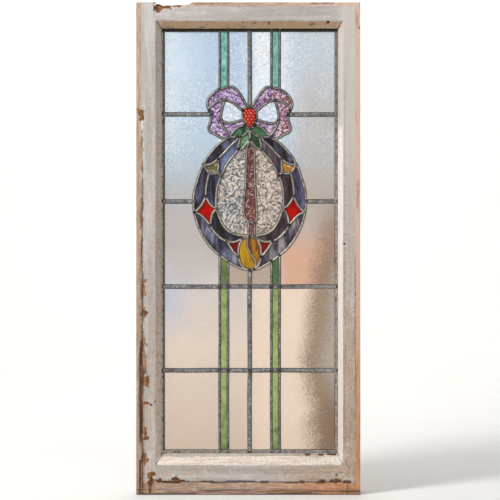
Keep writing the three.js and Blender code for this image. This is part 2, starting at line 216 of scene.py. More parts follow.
def srgb(red, green, blue):
    # a colour as a paint chart gives it, 0 to 255, made linear
    return tuple((channel / 255) ** 2.2 for channel in (red, green, blue)) + (1,)


def link(tree, value, socket):
    if isinstance(value, bpy.types.NodeSocket):
        tree.links.new(value, socket)
    else:
        socket.default_value = value


def addNode(tree, kind, inputs=None, **settings):
    made = tree.nodes.new(kind)
    for name, value in settings.items():
        setattr(made, name, value)
    for key, value in (inputs or {}).items():
        link(tree, value, made.inputs[key])
    return made


def objectCoords(tree, stretch=(1, 1, 1), turn=(0, 0, 0)):
    place = addNode(tree, "ShaderNodeTexCoord").outputs["Object"]
    mapping = {"Vector": place, "Scale": stretch, "Rotation": turn}
    return addNode(tree, "ShaderNodeMapping", mapping).outputs[0]


def placesOf(tree, coords):
    return addNode(tree, "ShaderNodeSeparateXYZ", {0: coords}).outputs


def masksOf(tree, name):
    layer = addNode(tree, "ShaderNodeAttribute", attribute_name=name).outputs
    return addNode(tree, "ShaderNodeSeparateColor", {0: layer["Color"]}).outputs, layer["Alpha"]


def noiseValue(tree, coords, scale, detail=3, roughness=0.55, distortion=0):
    inputs = {
        "Vector": coords, "Scale": scale, "Detail": detail, "Roughness": roughness,
        "Distortion": distortion,
    }
    return addNode(tree, "ShaderNodeTexNoise", inputs).outputs[0]


def ranged(tree, value, low, high, toLow=0.0, toHigh=1.0):
    inputs = {"Value": value, "From Min": low, "From Max": high, "To Min": toLow, "To Max": toHigh}
    return addNode(tree, "ShaderNodeMapRange", inputs, interpolation_type="SMOOTHSTEP").outputs[0]


def calc(tree, operation, first, second, clamp=False):
    inputs = {0: first, 1: second}
    return addNode(tree, "ShaderNodeMath", inputs, operation=operation, use_clamp=clamp).outputs[0]


def times(tree, first, second, clamp=False):
    return calc(tree, "MULTIPLY", first, second, clamp)


def plus(tree, first, second, clamp=False):
    return calc(tree, "ADD", first, second, clamp)


def minus(tree, first, second, clamp=False):
    return calc(tree, "SUBTRACT", first, second, clamp)


def larger(tree, first, second):
    return calc(tree, "MAXIMUM", first, second)


def blended(tree, share, first, second, blend="MIX"):
    inputs = {0: share, 6: first, 7: second}
    return addNode(tree, "ShaderNodeMix", inputs, data_type="RGBA", blend_type=blend).outputs[2]


def ramp(tree, value, stops):
    made = addNode(tree, "ShaderNodeValToRGB", {0: value})
    elements = made.color_ramp.elements
    while len(elements) < len(stops):
        elements.new(0.5)
    for element, (position, colour) in zip(elements, stops):
        element.position = position
        element.color = colour
    return made.outputs[0]


def coloured(stops):
    # stops given as place, red, green, blue
    return [(position, srgb(*paint)) for position, *paint in stops]


def newGroup(name, inputs, outputs):
    group = bpy.data.node_groups.new(name, "ShaderNodeTree")
    for socketName, kind in inputs:
        group.interface.new_socket(socketName, in_out="INPUT", socket_type=kind)
    for socketName, kind in outputs:
        group.interface.new_socket(socketName, in_out="OUTPUT", socket_type=kind)
    return group, group.nodes.new("NodeGroupInput").outputs, group.nodes.new("NodeGroupOutput").inputs


def buildPatchGroup():
    # ragged patches: dirt, oxide, lifted paint
    group, given, made = newGroup(
        "raggedPatches",
        [("Vector", "NodeSocketVector"), ("Scale", "NodeSocketFloat"), ("Coverage", "NodeSocketFloat")],
        [("Mask", "NodeSocketFloat")],
    )
    coarse = noiseValue(group, given["Vector"], given["Scale"], detail=5, roughness=0.65)
    level = minus(group, 1.0, given["Coverage"])
    lower = minus(group, level, 0.06)
    upper = plus(group, level, 0.06)
    link(group, ranged(group, coarse, lower, upper), made["Mask"])
    return group


def buildStippleGroup():
    # fine pebbled face of rolled glass
    group, given, made = newGroup(
        "stippledGlass",
        [("Vector", "NodeSocketVector"), ("Scale", "NodeSocketFloat")],
        [("Height", "NodeSocketFloat"), ("Speckle", "NodeSocketFloat")],
    )
    fine = noiseValue(group, given["Vector"], given["Scale"], detail=2, roughness=0.6)
    broad = noiseValue(group, given["Vector"], times(group, given["Scale"], 0.12), detail=2)
    link(group, fine, made["Height"])
    patches = ranged(group, broad, 0.4, 0.62)
    contrast = ranged(group, fine, 0.35, 0.68)
    link(group, times(group, contrast, patches), made["Speckle"])
    return group


patchGroup = buildPatchGroup()
stippleGroup = buildStippleGroup()


def patches(tree, coords, scale, coverage):
    inputs = {"Vector": coords, "Scale": scale, "Coverage": coverage}
    return addNode(tree, "ShaderNodeGroup", node_tree=patchGroup, inputs=inputs).outputs["Mask"]


def newMaterial(name):
    material = bpy.data.materials.new(name)
    material.use_nodes = True
    tree = material.node_tree
    return material, tree, tree.nodes["Principled BSDF"]


def setShader(tree, shader, values):
    for name, value in values.items():
        link(tree, value, shader.inputs[name])


def addBump(tree, shader, height, strength, distance):
    inputs = {"Height": height, "Strength": strength, "Distance": distance * mm}
    link(tree, addNode(tree, "ShaderNodeBump", inputs).outputs[0], shader.inputs["Normal"])


def addStipple(tree, shader, coords, scale):
    inputs = {"Vector": coords, "Scale": scale}
    stipple = addNode(tree, "ShaderNodeGroup", node_tree=stippleGroup, inputs=inputs)
    addBump(tree, shader, stipple.outputs["Height"], 0.4, 0.5)


# Timber: old white paint over pink primer over bare softwood

timber = {
    "voxel": 1.8,
    "margins": {"left": 8.9, "right": 8.9, "top": 7.2, "bottom": 21.5},
    "flakes": [  # middle x, middle z, half width, half height, depth, how brown
        (-187.5, 666, 5.6, 10, 1.5, 0.62),
        (-148, 854, 13, 3.6, 1.6, 0.85),
        (-126, 856, 11, 2.2, 1.2, 0.75),
        (-110, 859, 6, 1.6, 0.9, 0.6),
        (-184.5, 364, 4.6, 12, 0.7, 0.5),
        (-183.5, 319, 6.0, 13, 0.7, 0.55),
        (-182.5, 236, 5.0, 34, 0.6, 0.5),
        (-180, 197, 6.0, 11, 0.6, 0.6),
        (-179, 161, 7.5, 4, 0.5, 0.7),
        (-180, 108, 5.0, 10, 0.5, 0.6),
        (-180.5, 63, 5.6, 10, 0.6, 0.6),
        (-170, 32, 4.4, 8.0, 1.4, 0.75),
        (-165, 25, 9.5, 4.4, 1.2, 0.7),
        (-128, 29, 6.0, 5.0, 1.3, 0.75),
        (-126, 24.5, 15, 3.6, 1.2, 0.65),
        (-150, 23.0, 12, 2.0, 0.9, 0.6),
        (155, 24.5, 13.5, 3.4, 1.2, 0.8),
        (129, 24.5, 3, 2.4, 0.8, 0.8),
        (-171, 10, 2.6, 13, 0.8, 0.75),
        (-159, 852, 6.4, 6.5, 2.2, 0.8),
        (-186.5, 600, 2.2, 42, 0.4, 0.3),
        (-186.5, 500, 2.6, 24, 0.4, 0.3),
        (-186.5, 428, 2.2, 18, 0.4, 0.3),
        (168.4, 439.6, 1.5, 2.6, 0.5, 0.9),
        (104, 69.5, 4.5, 1.6, 0.5, 0.9),
        (128, 68.6, 5, 1.4, 0.4, 0.9),
        (146, 69.4, 7, 1.5, 0.4, 0.9),
        (140, 828.5, 2.2, 1.8, 0.7, 0.9),
        (60, 862, 9, 2.2, 0.8, 0.5),
        (128, 861, 16, 2.6, 0.8, 0.4),
    ],
    "joints": [-161.5, 165.5],
    "jointReach": 1.9,
    "nailHoles": [(154.3, 35), (195.6, 818), (140.6, 827.8), (168.4, 439.6), (-162.5, 163)],
    "nailSize": 1.6,
    "crackLevel": 22.4,
    "rawLine": (185.2, 188.2, 131, 428),
    "hairLineX": -185.8,
    "pittedLineX": 169.2,
    "split": (-192.5, -180.8, 0, 300),
    "brokenEdge": (-168, -95, 850, 862.4),
}


def flakeReach(points, middleX, middleZ, halfWidth, halfHeight):
    # millimetres outside a ragged island of lifted paint; below zero is inside it
    across = np.abs(points[:, 0] - middleX) / halfWidth
    along = np.abs(points[:, 2] - middleZ) / halfHeight
    away = ((across**3 + along**3) ** (1 / 3) - 1) * min(halfWidth, halfHeight)
    ragged = min(2.8, 0.62 * min(halfWidth, halfHeight))
    coarse = roughNoise(points * (1, 0, 0.8), 7, 11) - 0.44
    fine = softNoise(points * (1, 0, 1), 2.6, 12) - 0.5
    return away + ragged * (3.6 * coarse + 1.3 * fine)


def dirtAndShadeOn(points, normals, flat, moulding, broken, primer, opened):
    x, y, z = points.T
    # dirt gathers against the leads, under the top moulding and in the grain at the foot, and painted shade
    # darkens the very foot of the front face and the top moulding's lower part
    gathered = smooth(0.25, 0.55, roughNoise(points, 12, 51) + 0.15 * (z > 815))
    grimeAndShade = 0.75 * smooth(-9.5, -7.0, y) * (y < -5.5) * gathered
    streaks = smooth(0.5, 0.68, softNoise(points, (60, 30, 2.4), 52)) * (1 - smooth(7, 15, z)) * flat
    grimeAndShade = np.maximum(grimeAndShade, 0.7 * streaks)
    grimeAndShade = np.maximum(grimeAndShade, opened)
    soot = smooth(0.5, 0.72, roughNoise(points, 4.5, 54)) * smooth(150, 166, x) * smooth(560, 300, z) * flat
    grimeAndShade = np.maximum(grimeAndShade, 0.42 * soot * (primer < 0.5))
    dust = smooth(0.56, 0.74, roughNoise(points, (9, 6, 5), 55)) * moulding * (z > 810)
    grimeAndShade = np.maximum(grimeAndShade, 0.72 * dust)
    smut = smooth(0.45, 0.7, roughNoise(points, (26, 8, 6), 56)) * moulding * smooth(815, 829, z)
    grimeAndShade = np.maximum(grimeAndShade, 0.45 * smut)
    scribed = (1 - smooth(0.3, 0.9, np.abs(z - 746.7 + 0.01 * (x - 180)))) * (x > 167) * flat
    grimeAndShade = np.maximum(grimeAndShade, 0.55 * scribed)
    torn = broken * smooth(0.1, 0.3, normals[:, 2]) * (1 - smooth(0.5, 0.8, normals[:, 2]))
    grimeAndShade = np.maximum(grimeAndShade, 0.8 * torn)
    # painted shade: a dark line along the very foot of the front face, where its edge rounds away
    foot = (1 - smooth(0.8, 2.2, z)) * (y < -18)
    grimeAndShade = np.maximum(grimeAndShade, 0.8 * foot)
    # painted shade on the lower part of the top moulding, under its overhang
    topShade = moulding * smooth(814, 822, z)
    grimeAndShade = np.maximum(grimeAndShade, 0.35 * topShade * smooth(0.45, 0.7, roughNoise(points, (30, 9, 9), 53)))
    return grimeAndShade


def stainShadeAndHighlightOn(points, flat, moulding, paleLitLips):
    x, _, z = points.T
    # warm staining, strongest low on the right
    stainShadeAndHighlight = 0.9 * smooth(-40, 150, x) * smooth(640, 120, z)
    stainShadeAndHighlight = stainShadeAndHighlight - 0.12 * smooth(150, 166, x) * smooth(560, 700, z)
    stainShadeAndHighlight = stainShadeAndHighlight + 0.34 * smooth(620, 120, z) * smooth(60, -60, x)
    leftDrift = smooth(0.3, 0.62, roughNoise(points, (8, 8, 26), 67))
    footDrift = smooth(0.25, 0.6, roughNoise(points, (16, 9, 6), 66))
    # warm staining and painted shade on the top and left slopes of the moulding, the slopes that face away
    # from the lamp
    leftStainAndShade = 0.66 * smooth(-150, -156, x) * leftDrift
    stainShadeAndHighlight = stainShadeAndHighlight + moulding * (0.75 * smooth(815, 820, z) + leftStainAndShade)
    stainShadeAndHighlight = stainShadeAndHighlight + moulding * smooth(58, 66, z) * (z < 78) * footDrift
    # painted highlight: the right and lower slopes of the moulding, which face the lamp, are marked for
    # bright paint and lose their stain
    paintedLight = moulding * np.maximum(smooth(156, 158.5, x), smooth(77, 58, z)) * (z < 815)
    paintedLight = paintedLight * (1 - 0.75 * smooth(150, 156, x) * smooth(560, 720, z))
    paintedLight = paintedLight * (0.75 + 0.5 * (roughNoise(points, (30, 12, 30), 62) - 0.5))
    # a painted highlight along the lower arris of the moulding
    arrisHighlight = (1 - smooth(0.5, 3.2, np.abs(z - sash["arrisBottom"]))) * (np.abs(x - 2) < 162)
    paintedLight = np.maximum(paintedLight, 0.95 * arrisHighlight * smooth(0.25, 0.45, roughNoise(points, (18, 9, 9), 63)))
    # painted light: the shaded left slope is lightened a little
    paintedLight = np.maximum(paintedLight, 0.16 * moulding * smooth(-152, -156, x) * (z < 822))
    stainShadeAndHighlight = np.maximum(stainShadeAndHighlight, moulding * (0.3 + 0.5 * (roughNoise(points, (24, 12, 24), 65) - 0.5)))
    stainShadeAndHighlight = stainShadeAndHighlight * (1 - smooth(0.1, 0.5, paintedLight)) - 0.3 * paintedLight
    edging = (1 - smooth(0, 5, sash["arrisLeft"] - x)) * (x < sash["arrisLeft"]) * (z < 830) * flat
    stainShadeAndHighlight = stainShadeAndHighlight + 0.35 * edging * smooth(0.35, 0.6, roughNoise(points, (6, 6, 24), 64))
    stainShadeAndHighlight = stainShadeAndHighlight + 0.3 * (roughNoise(points, (22, 22, 44), 61) - 0.5)
    stainShadeAndHighlight = np.where(paintedLight < 0.3, np.maximum(stainShadeAndHighlight, 0), stainShadeAndHighlight)
    # the flakes' lips take the highlight paint: pale paint edge and painted highlight
    stainShadeAndHighlight = stainShadeAndHighlight * (1 - paleLitLips) - 0.1 * paleLitLips
    return stainShadeAndHighlight


def weatherTimber(piece):
    points = readPoints(piece)
    normals = readNormals(piece)
    x, y, z = points.T
    far = 999  # so long that a noise doesn't change along that axis
    front = smooth(0.35, 0.6, -normals[:, 1]) * (y < -6.5)
    flat = smooth(-20.5, -21.3, y) * front
    moulding = (
        (x > sash["arrisLeft"]) & (x < sash["arrisRight"])
        & (z > sash["arrisBottom"]) & (z < sash["arrisTop"]) & (y < -6.5)
    ).astype(float)
    ragged = 2.4 * (roughNoise(points, (9, 9, 14), 3) - 0.5)
    margins = timber["margins"]
    primer = 1 - smooth(-0.6, 0.6, x - sash["left"] - margins["left"] + ragged)
    primer = np.maximum(primer, 1 - smooth(-0.6, 0.6, sash["right"] - x - margins["right"] + ragged))
    topMargin = 1 - smooth(-0.6, 0.6, sash["top"] - z - margins["top"] + 0.6 * ragged)
    primer = np.maximum(primer, topMargin * smooth(-100, -90, x))
    primer = np.maximum(primer, 1 - smooth(-0.6, 0.6, z - margins["bottom"] + ragged))
    primer = primer * flat
    bare = np.zeros(len(points))
    sink = 0.12 * primer
    lifted = np.zeros(len(points))
    paleLitLips = np.zeros(len(points))
    for middleX, middleZ, halfWidth, halfHeight, depth, brown in timber["flakes"]:
        away = flakeReach(points, middleX, middleZ, halfWidth, halfHeight)
        mask = (1 - smooth(-0.5, 0.5, away)) * front
        rind = (1 - smooth(0.3, 1.5, np.abs(away + 0.3))) * front
        # a pale lip round each flake: the lifted paint edge, with a painted highlight on it
        lip = (1 - smooth(0.6, 1.5, np.abs(away - 1.9))) * front
        paleLitLips = np.maximum(paleLitLips, lip * smooth(0.36, 0.56, roughNoise(points, 6, 68)))
        bare = np.maximum(bare, mask * brown)
        primer = np.maximum(primer, mask)
        lifted = np.maximum(lifted, rind * (0.5 + 0.35 * brown))
        sink = np.maximum(sink, mask * depth)
    xLow, xHigh, zLow, zHigh = timber["rawLine"]
    rawLine = (x > xLow) & (x < xHigh) & (z > zLow) & (z < zHigh)
    bare = np.maximum(bare, 0.5 * rawLine * flat * smooth(0.3, 0.5, roughNoise(points, (4, 4, 40), 12)))
    # the ragged crack where the paint ends above the foot of the bottom rail
    wander = 2.2 * (softNoise(points, (26, far, far), 21) - 0.5)
    wander = wander + 1.2 * (softNoise(points, (7, far, far), 22) - 0.5)
    width = 1.3 + 2.8 * smooth(0.4, 0.75, roughNoise(points, (16, far, far), 23))
    crack = 1 - smooth(width * 0.5, width * 0.5 + 1.1, np.abs(z - timber["crackLevel"] - wander))
    crack = crack * flat * smooth(-165, -160, x) * (1 - smooth(178, 184, x))
    sink = np.maximum(sink, 1.1 * crack)
    for holeX, holeZ in timber["nailHoles"]:
        hole = 1 - smooth(timber["nailSize"], timber["nailSize"] + 1.2, np.hypot(x - holeX, z - holeZ))
        sink = np.maximum(sink, 1.6 * hole * front)
        crack = np.maximum(crack, hole * front)
    # the split and the broken edge are already cut; their walls are raw wood
    xLow, xHigh, zLow, zHigh = timber["split"]
    inSplit = (x > xLow) & (x < xHigh) & (z > zLow) & (z < zHigh) & (y > -21.0) & (y < -16)
    bare = np.maximum(bare, inSplit)
    lifted = np.maximum(lifted, inSplit * (0.55 + 0.45 * softNoise(points * (0, 0, 1), 24, 36)))
    # the split runs on as a hair line, above and below where it gapes
    levels = points * (0, 0, 1)
    hair = -184.6 + 2.4 * (softNoise(levels, 40, 32) - 0.5) + 0.8 * (softNoise(levels, 9, 33) - 0.5)
    hairLine = (1 - smooth(0.25, 1.1, np.abs(x - hair))) * flat * (z < 640)
    gaping = smooth(0.4, 0.6, softNoise(levels, 50, 34))
    lifted = np.maximum(lifted, hairLine * (0.35 + 0.6 * gaping))
    sink = np.maximum(sink, 0.7 * hairLine)
    splitX = -189.2 - 2 * (softNoise(points, (far, far, 30), 31) - 0.5)
    lowerSplit = (1 - smooth(0.9, 2.0, np.abs(x - splitX))) * (z < 61) * flat * (x < 0)
    sink = np.maximum(sink, 1.2 * lowerSplit)
    bare = np.maximum(bare, lowerSplit)
    lifted = np.maximum(lifted, 0.7 * lowerSplit)
    xLow, xHigh, zLow, zHigh = timber["brokenEdge"]
    broken = (x > xLow) & (x < xHigh) & (z > zLow) & (z < zHigh) & ((normals[:, 2] > 0.35) | (z > 859.5))
    bare = np.maximum(bare, broken)
    # outer sides and ends were never well painted
    sides = smooth(0.6, 0.9, np.abs(normals[:, 0])) * (np.abs(x) > 190)
    ends = smooth(0.6, 0.9, np.abs(normals[:, 2])) * ((z < 4) | (z > 850))
    unpainted = np.maximum(sides, ends)
    primer = np.maximum(primer, unpainted * smooth(0.22, 0.4, roughNoise(points, (20, 20, 60), 41)))
    bare = np.maximum(bare, 0.8 * unpainted * smooth(0.54, 0.68, roughNoise(points, (16, 16, 70), 42)))
    corner = 1 - smooth(0.86, 0.97, np.abs(normals).max(axis=1))
    corner = corner * (1 - moulding)
    primer = np.maximum(primer, 0.9 * corner * smooth(0.48, 0.62, roughNoise(points, 14, 43)))
    grimeAndShade = dirtAndShadeOn(points, normals, flat, moulding, broken, primer, np.maximum(crack, lifted))
    stainShadeAndHighlight = stainShadeAndHighlightOn(points, flat, moulding, paleLitLips)
    brush = roughNoise(points, (5, 8, 60) if piece.name.endswith("stile_timber") else (60, 8, 5), 71) - 0.5
    lumps = roughNoise(points, 24, 72) - 0.5
    # outer faces only lose material, so that nothing stands past the sash's own box
    lift = 0.16 * brush + 0.2 * lumps - 0.2
    points = points + normals * (lift - sink * (np.abs(normals[:, 1]) > 0.3))[:, None]
    # paint bridges the joints of the corners: their rounded edges are drawn together again
    atEnds = (z < sash["arrisBottom"] - 0.5) | (z > sash["arrisTop"] + 0.5)
    for joint in timber["joints"]:
        near = atEnds & (np.abs(x - joint) < timber["jointReach"]) & (y < -19.5)
        points[:, 0] = np.where(near, joint + 0.04 * np.sign(x - joint), points[:, 0])
        filled = sash["front"] + 0.12 + 0.5 * crack + 0.3 * roughNoise(points, 9, 73)
        points[:, 1] = np.where(near, filled, points[:, 1])
    low = np.array([sash["left"], sash["front"], 0])
    high = np.array([sash["right"], sash["back"], sash["top"]])
    writePoints(piece, np.clip(points, low, high))
    # the fourth channel holds stain and painted shade, from a third below nothing, painted highlight, to
    # full
    writeColours(piece, "wear_and_painted_light", [bare, primer, grimeAndShade, 0.25 + 0.75 * stainShadeAndHighlight])


def fineLines(tree, place, breakUp):
    # lines too fine for the mesh: the long split of the left stile with rust along it, the pitted
    # line beside the right arris and the grain at the foot
    frontOnly = ranged(tree, place[1], -0.0192, -0.0202)
    upAndDown = objectCoords(tree, stretch=(0, 0, 1))
    bend = minus(tree, noiseValue(tree, upAndDown, 20, detail=6, roughness=0.62), 0.5)
    splitAway = plus(tree, minus(tree, place[0], timber["hairLineX"] * mm), times(tree, bend, 0.011))
    splitAway = calc(tree, "ABSOLUTE", splitAway, 0)
    openness = noiseValue(tree, upAndDown, 31, detail=2)
    below = times(tree, frontOnly, ranged(tree, place[2], 0.6, 0.5))
    below = times(tree, below, ranged(tree, openness, 0.28, 0.36))
    splitWidth = ranged(tree, openness, 0.36, 0.62, 0.0012, 0.0028)
    splitLine = times(tree, ranged(tree, splitAway, splitWidth, 0.0003), below)
    rust = times(tree, ranged(tree, splitAway, 0.0064, 0.0022), ranged(tree, place[2], 0.4, 0.22, 0.35, 1.0))
    rust = times(tree, rust, times(tree, below, ranged(tree, breakUp, 0.42, 0.58)))
    arrisBend = times(tree, bend, 0.004)
    arrisAway = plus(tree, minus(tree, place[0], timber["pittedLineX"] * mm), arrisBend)
    arrisAway = calc(tree, "ABSOLUTE", arrisAway, 0)
    arrisLine = times(tree, ranged(tree, arrisAway, 0.0014, 0.0004), ranged(tree, breakUp, 0.46, 0.56))
    arrisReach = times(tree, ranged(tree, place[2], 0.06, 0.1), ranged(tree, place[2], 0.8, 0.7))
    arrisLine = times(tree, arrisLine, times(tree, arrisReach, 0.6))
    arrisLine = times(tree, arrisLine, frontOnly)
    footGrain = noiseValue(tree, objectCoords(tree, stretch=(0.035, 1, 1)), 360, detail=4, roughness=0.6)
    footLine = times(tree, ranged(tree, footGrain, 0.46, 0.56), ranged(tree, place[2], 0.013, 0.0085))
    footLine = times(tree, footLine, frontOnly)
    dark = larger(tree, arrisLine, larger(tree, splitLine, times(tree, footLine, 0.7)))
    return rust, dark


def paintColour(tree, coords, along, brush, alpha):
    place = placesOf(tree, coords)
    # paint: cool grey white, warm where stained, brushed along the member
    cloud = noiseValue(tree, coords, 26, detail=4, roughness=0.6)
    speckle = noiseValue(tree, coords, 330, detail=5, roughness=0.75)
    mottle = plus(tree, times(tree, brush, 0.4), times(tree, speckle, 0.6))
    cool = blended(tree, ranged(tree, mottle, 0.35, 0.65), srgb(174, 169, 166), srgb(204, 199, 196))
    warm = blended(tree, ranged(tree, mottle, 0.35, 0.65), srgb(166, 137, 114), srgb(214, 186, 163))
    stored = times(tree, minus(tree, alpha, 0.25), 1.333)
    stainShadeAndHighlight = plus(tree, stored, times(tree, minus(tree, cloud, 0.5), 0.5))
    paint = blended(tree, times(tree, stainShadeAndHighlight, 1.0, clamp=True), cool, warm)
    chalk = patches(tree, coords, 60, 0.42)
    lower = ranged(tree, place[2], 0.14, 0.05, 0.3, 0.6)
    paint = blended(tree, times(tree, chalk, lower), paint, srgb(216, 209, 201))
    sweep = noiseValue(tree, along, 60, detail=3, roughness=0.6)
    paint = blended(tree, ranged(tree, sweep, 0.56, 0.38, 0.0, 0.3), paint, srgb(150, 141, 131))
    paint = blended(tree, ranged(tree, sweep, 0.54, 0.7, 0.0, 0.4), paint, srgb(218, 214, 209))
    dirt = patches(tree, coords, 260, 0.38)
    heavier = times(tree, ranged(tree, place[0], 0.1, 0.17), ranged(tree, place[2], 0.62, 0.3))
    dirtShare = times(tree, dirt, plus(tree, 0.24, times(tree, heavier, 0.34)))
    paint = blended(tree, dirtShare, paint, srgb(124, 108, 94))
    pits = patches(tree, coords, 430, 0.36)
    paint = blended(tree, times(tree, pits, 0.34), paint, srgb(136, 119, 106))
    # painted highlight: the bright cream for the slopes and arrises marked as lit
    highlightPaint = blended(tree, ranged(tree, mottle, 0.38, 0.62), srgb(212, 190, 172), srgb(252, 240, 229))
    # old varnish and soot on the top and left slopes of the moulding; the shaded left slope is first
    # lightened, as painted light
    slope = ranged(tree, place[1], -0.0212, -0.0196)
    topSlope = times(tree, slope, ranged(tree, place[2], 0.814, 0.819))
    topShare = times(tree, topSlope, ranged(tree, cloud, 0.3, 0.6, 0.45, 0.85))
    paint = blended(tree, topShare, paint, blended(tree, speckle, srgb(156, 122, 84), srgb(220, 188, 146)))
    leftSlope = times(tree, slope, ranged(tree, place[0], -0.1512, -0.1525))
    paint = blended(tree, times(tree, leftSlope, 0.55), paint, srgb(226, 208, 194))
    leftShare = times(tree, leftSlope, patches(tree, coords, 150, 0.42))
    paint = blended(tree, times(tree, leftShare, 0.55), paint, srgb(160, 112, 80))
    # painted highlight on the upper part of the right slope of the moulding
    upright = times(tree, ranged(tree, place[0], 0.15, 0.168), ranged(tree, place[2], 0.36, 0.62))
    paint = blended(tree, times(tree, upright, 0.6), paint, srgb(216, 208, 200))
    # whiter still on the right slope of the moulding: painted highlight
    highlightPaint = blended(tree, ranged(tree, place[0], 0.15, 0.158, 0.0, 0.6), highlightPaint, srgb(236, 226, 221))
    paint = blended(tree, ranged(tree, stored, -0.04, -0.16), paint, highlightPaint)
    return paint


def underPaint(tree, coords, along):
    place = placesOf(tree, coords)
    # primer: pink on the left, more orange low on the right
    fleck = noiseValue(tree, along, 420, detail=4, roughness=0.65)
    pale = blended(tree, ranged(tree, fleck, 0.3, 0.7), srgb(154, 126, 108), srgb(202, 174, 154))
    orange = blended(tree, ranged(tree, fleck, 0.3, 0.7), srgb(178, 122, 84), srgb(214, 158, 120))
    towardRight = ranged(tree, place[0], -0.02, 0.16)
    pale = blended(tree, towardRight, pale, srgb(214, 188, 172))
    towardFoot = ranged(tree, place[2], 0.5, 0.05)
    under = blended(tree, times(tree, towardRight, towardFoot), pale, orange)
    # bare softwood: orange brown with dark grain
    rings = noiseValue(tree, along, 560, detail=5, roughness=0.7, distortion=0.6)
    wood = ramp(tree, rings, [
        (0.3, srgb(60, 36, 20)), (0.46, srgb(122, 78, 44)), (0.6, srgb(172, 120, 76)),
        (0.76, srgb(214, 178, 138)),
    ])
    scuffs = patches(tree, along, 130, 0.42)
    under = blended(tree, times(tree, scuffs, 0.5), under, srgb(134, 94, 68))
    rubbed = patches(tree, coords, 90, 0.4)
    under = blended(tree, times(tree, rubbed, 0.35), under, srgb(224, 202, 186))
    return under, wood


def timberMaterial(name, grain):
    material, tree, shader = newMaterial(name)
    coords = objectCoords(tree)
    along = objectCoords(tree, stretch=grain)
    masks, stored = masksOf(tree, "wear_and_painted_light")
    place = placesOf(tree, coords)
    breakUp = noiseValue(tree, coords, 520, detail=4, roughness=0.7)
    edge = times(tree, minus(tree, breakUp, 0.5), 0.9)
    bare = ranged(tree, plus(tree, masks[0], edge), 0.38, 0.6)
    primer = ranged(tree, plus(tree, masks[1], edge), 0.38, 0.6)
    grimeAndShade = ranged(tree, plus(tree, masks[2], edge), 0.3, 0.85)
    rust, fine = fineLines(tree, place, breakUp)
    bare = larger(tree, bare, rust)
    grimeAndShade = larger(tree, grimeAndShade, fine)
    brush = noiseValue(tree, along, 340, detail=4, roughness=0.6)
    paint = paintColour(tree, coords, along, brush, stored)
    under, wood = underPaint(tree, coords, along)
    colour = blended(tree, primer, paint, under)
    colour = blended(tree, bare, colour, wood)
    # grime and fine lines darken the colour, with painted shade at the foot and under the top moulding
    colour = blended(tree, times(tree, grimeAndShade, 0.86), colour, srgb(58, 42, 31))
    roughness = plus(tree, 0.4, times(tree, plus(tree, bare, primer), 0.25))
    setShader(tree, shader, {"Base Color": colour, "Roughness": roughness, "IOR": 1.45})
    height = plus(tree, times(tree, brush, 0.5), times(tree, breakUp, 0.35))
    height = minus(tree, height, times(tree, bare, 0.5))
    height = minus(tree, height, times(tree, primer, 0.22))
    addBump(tree, shader, height, 0.7, 0.5)
    return material


def buildTimber():
    upright = timberMaterial("painted_wood_upright", (1, 1, 0.08))
    level = timberMaterial("painted_wood_level", (0.08, 1, 1))
    members = {"left_stile": upright, "right_stile": upright, "top_rail": level, "bottom_rail": level}
    for name, material in members.items():
        piece = copyOf(name, name + "_timber")
        remesh(piece, timber["voxel"])
        weatherTimber(piece)
        finishPiece(piece, material, [name])
    print("timber done")


# Leads: drawn lines of the figure, right half, from the middle line and the wreath's middle

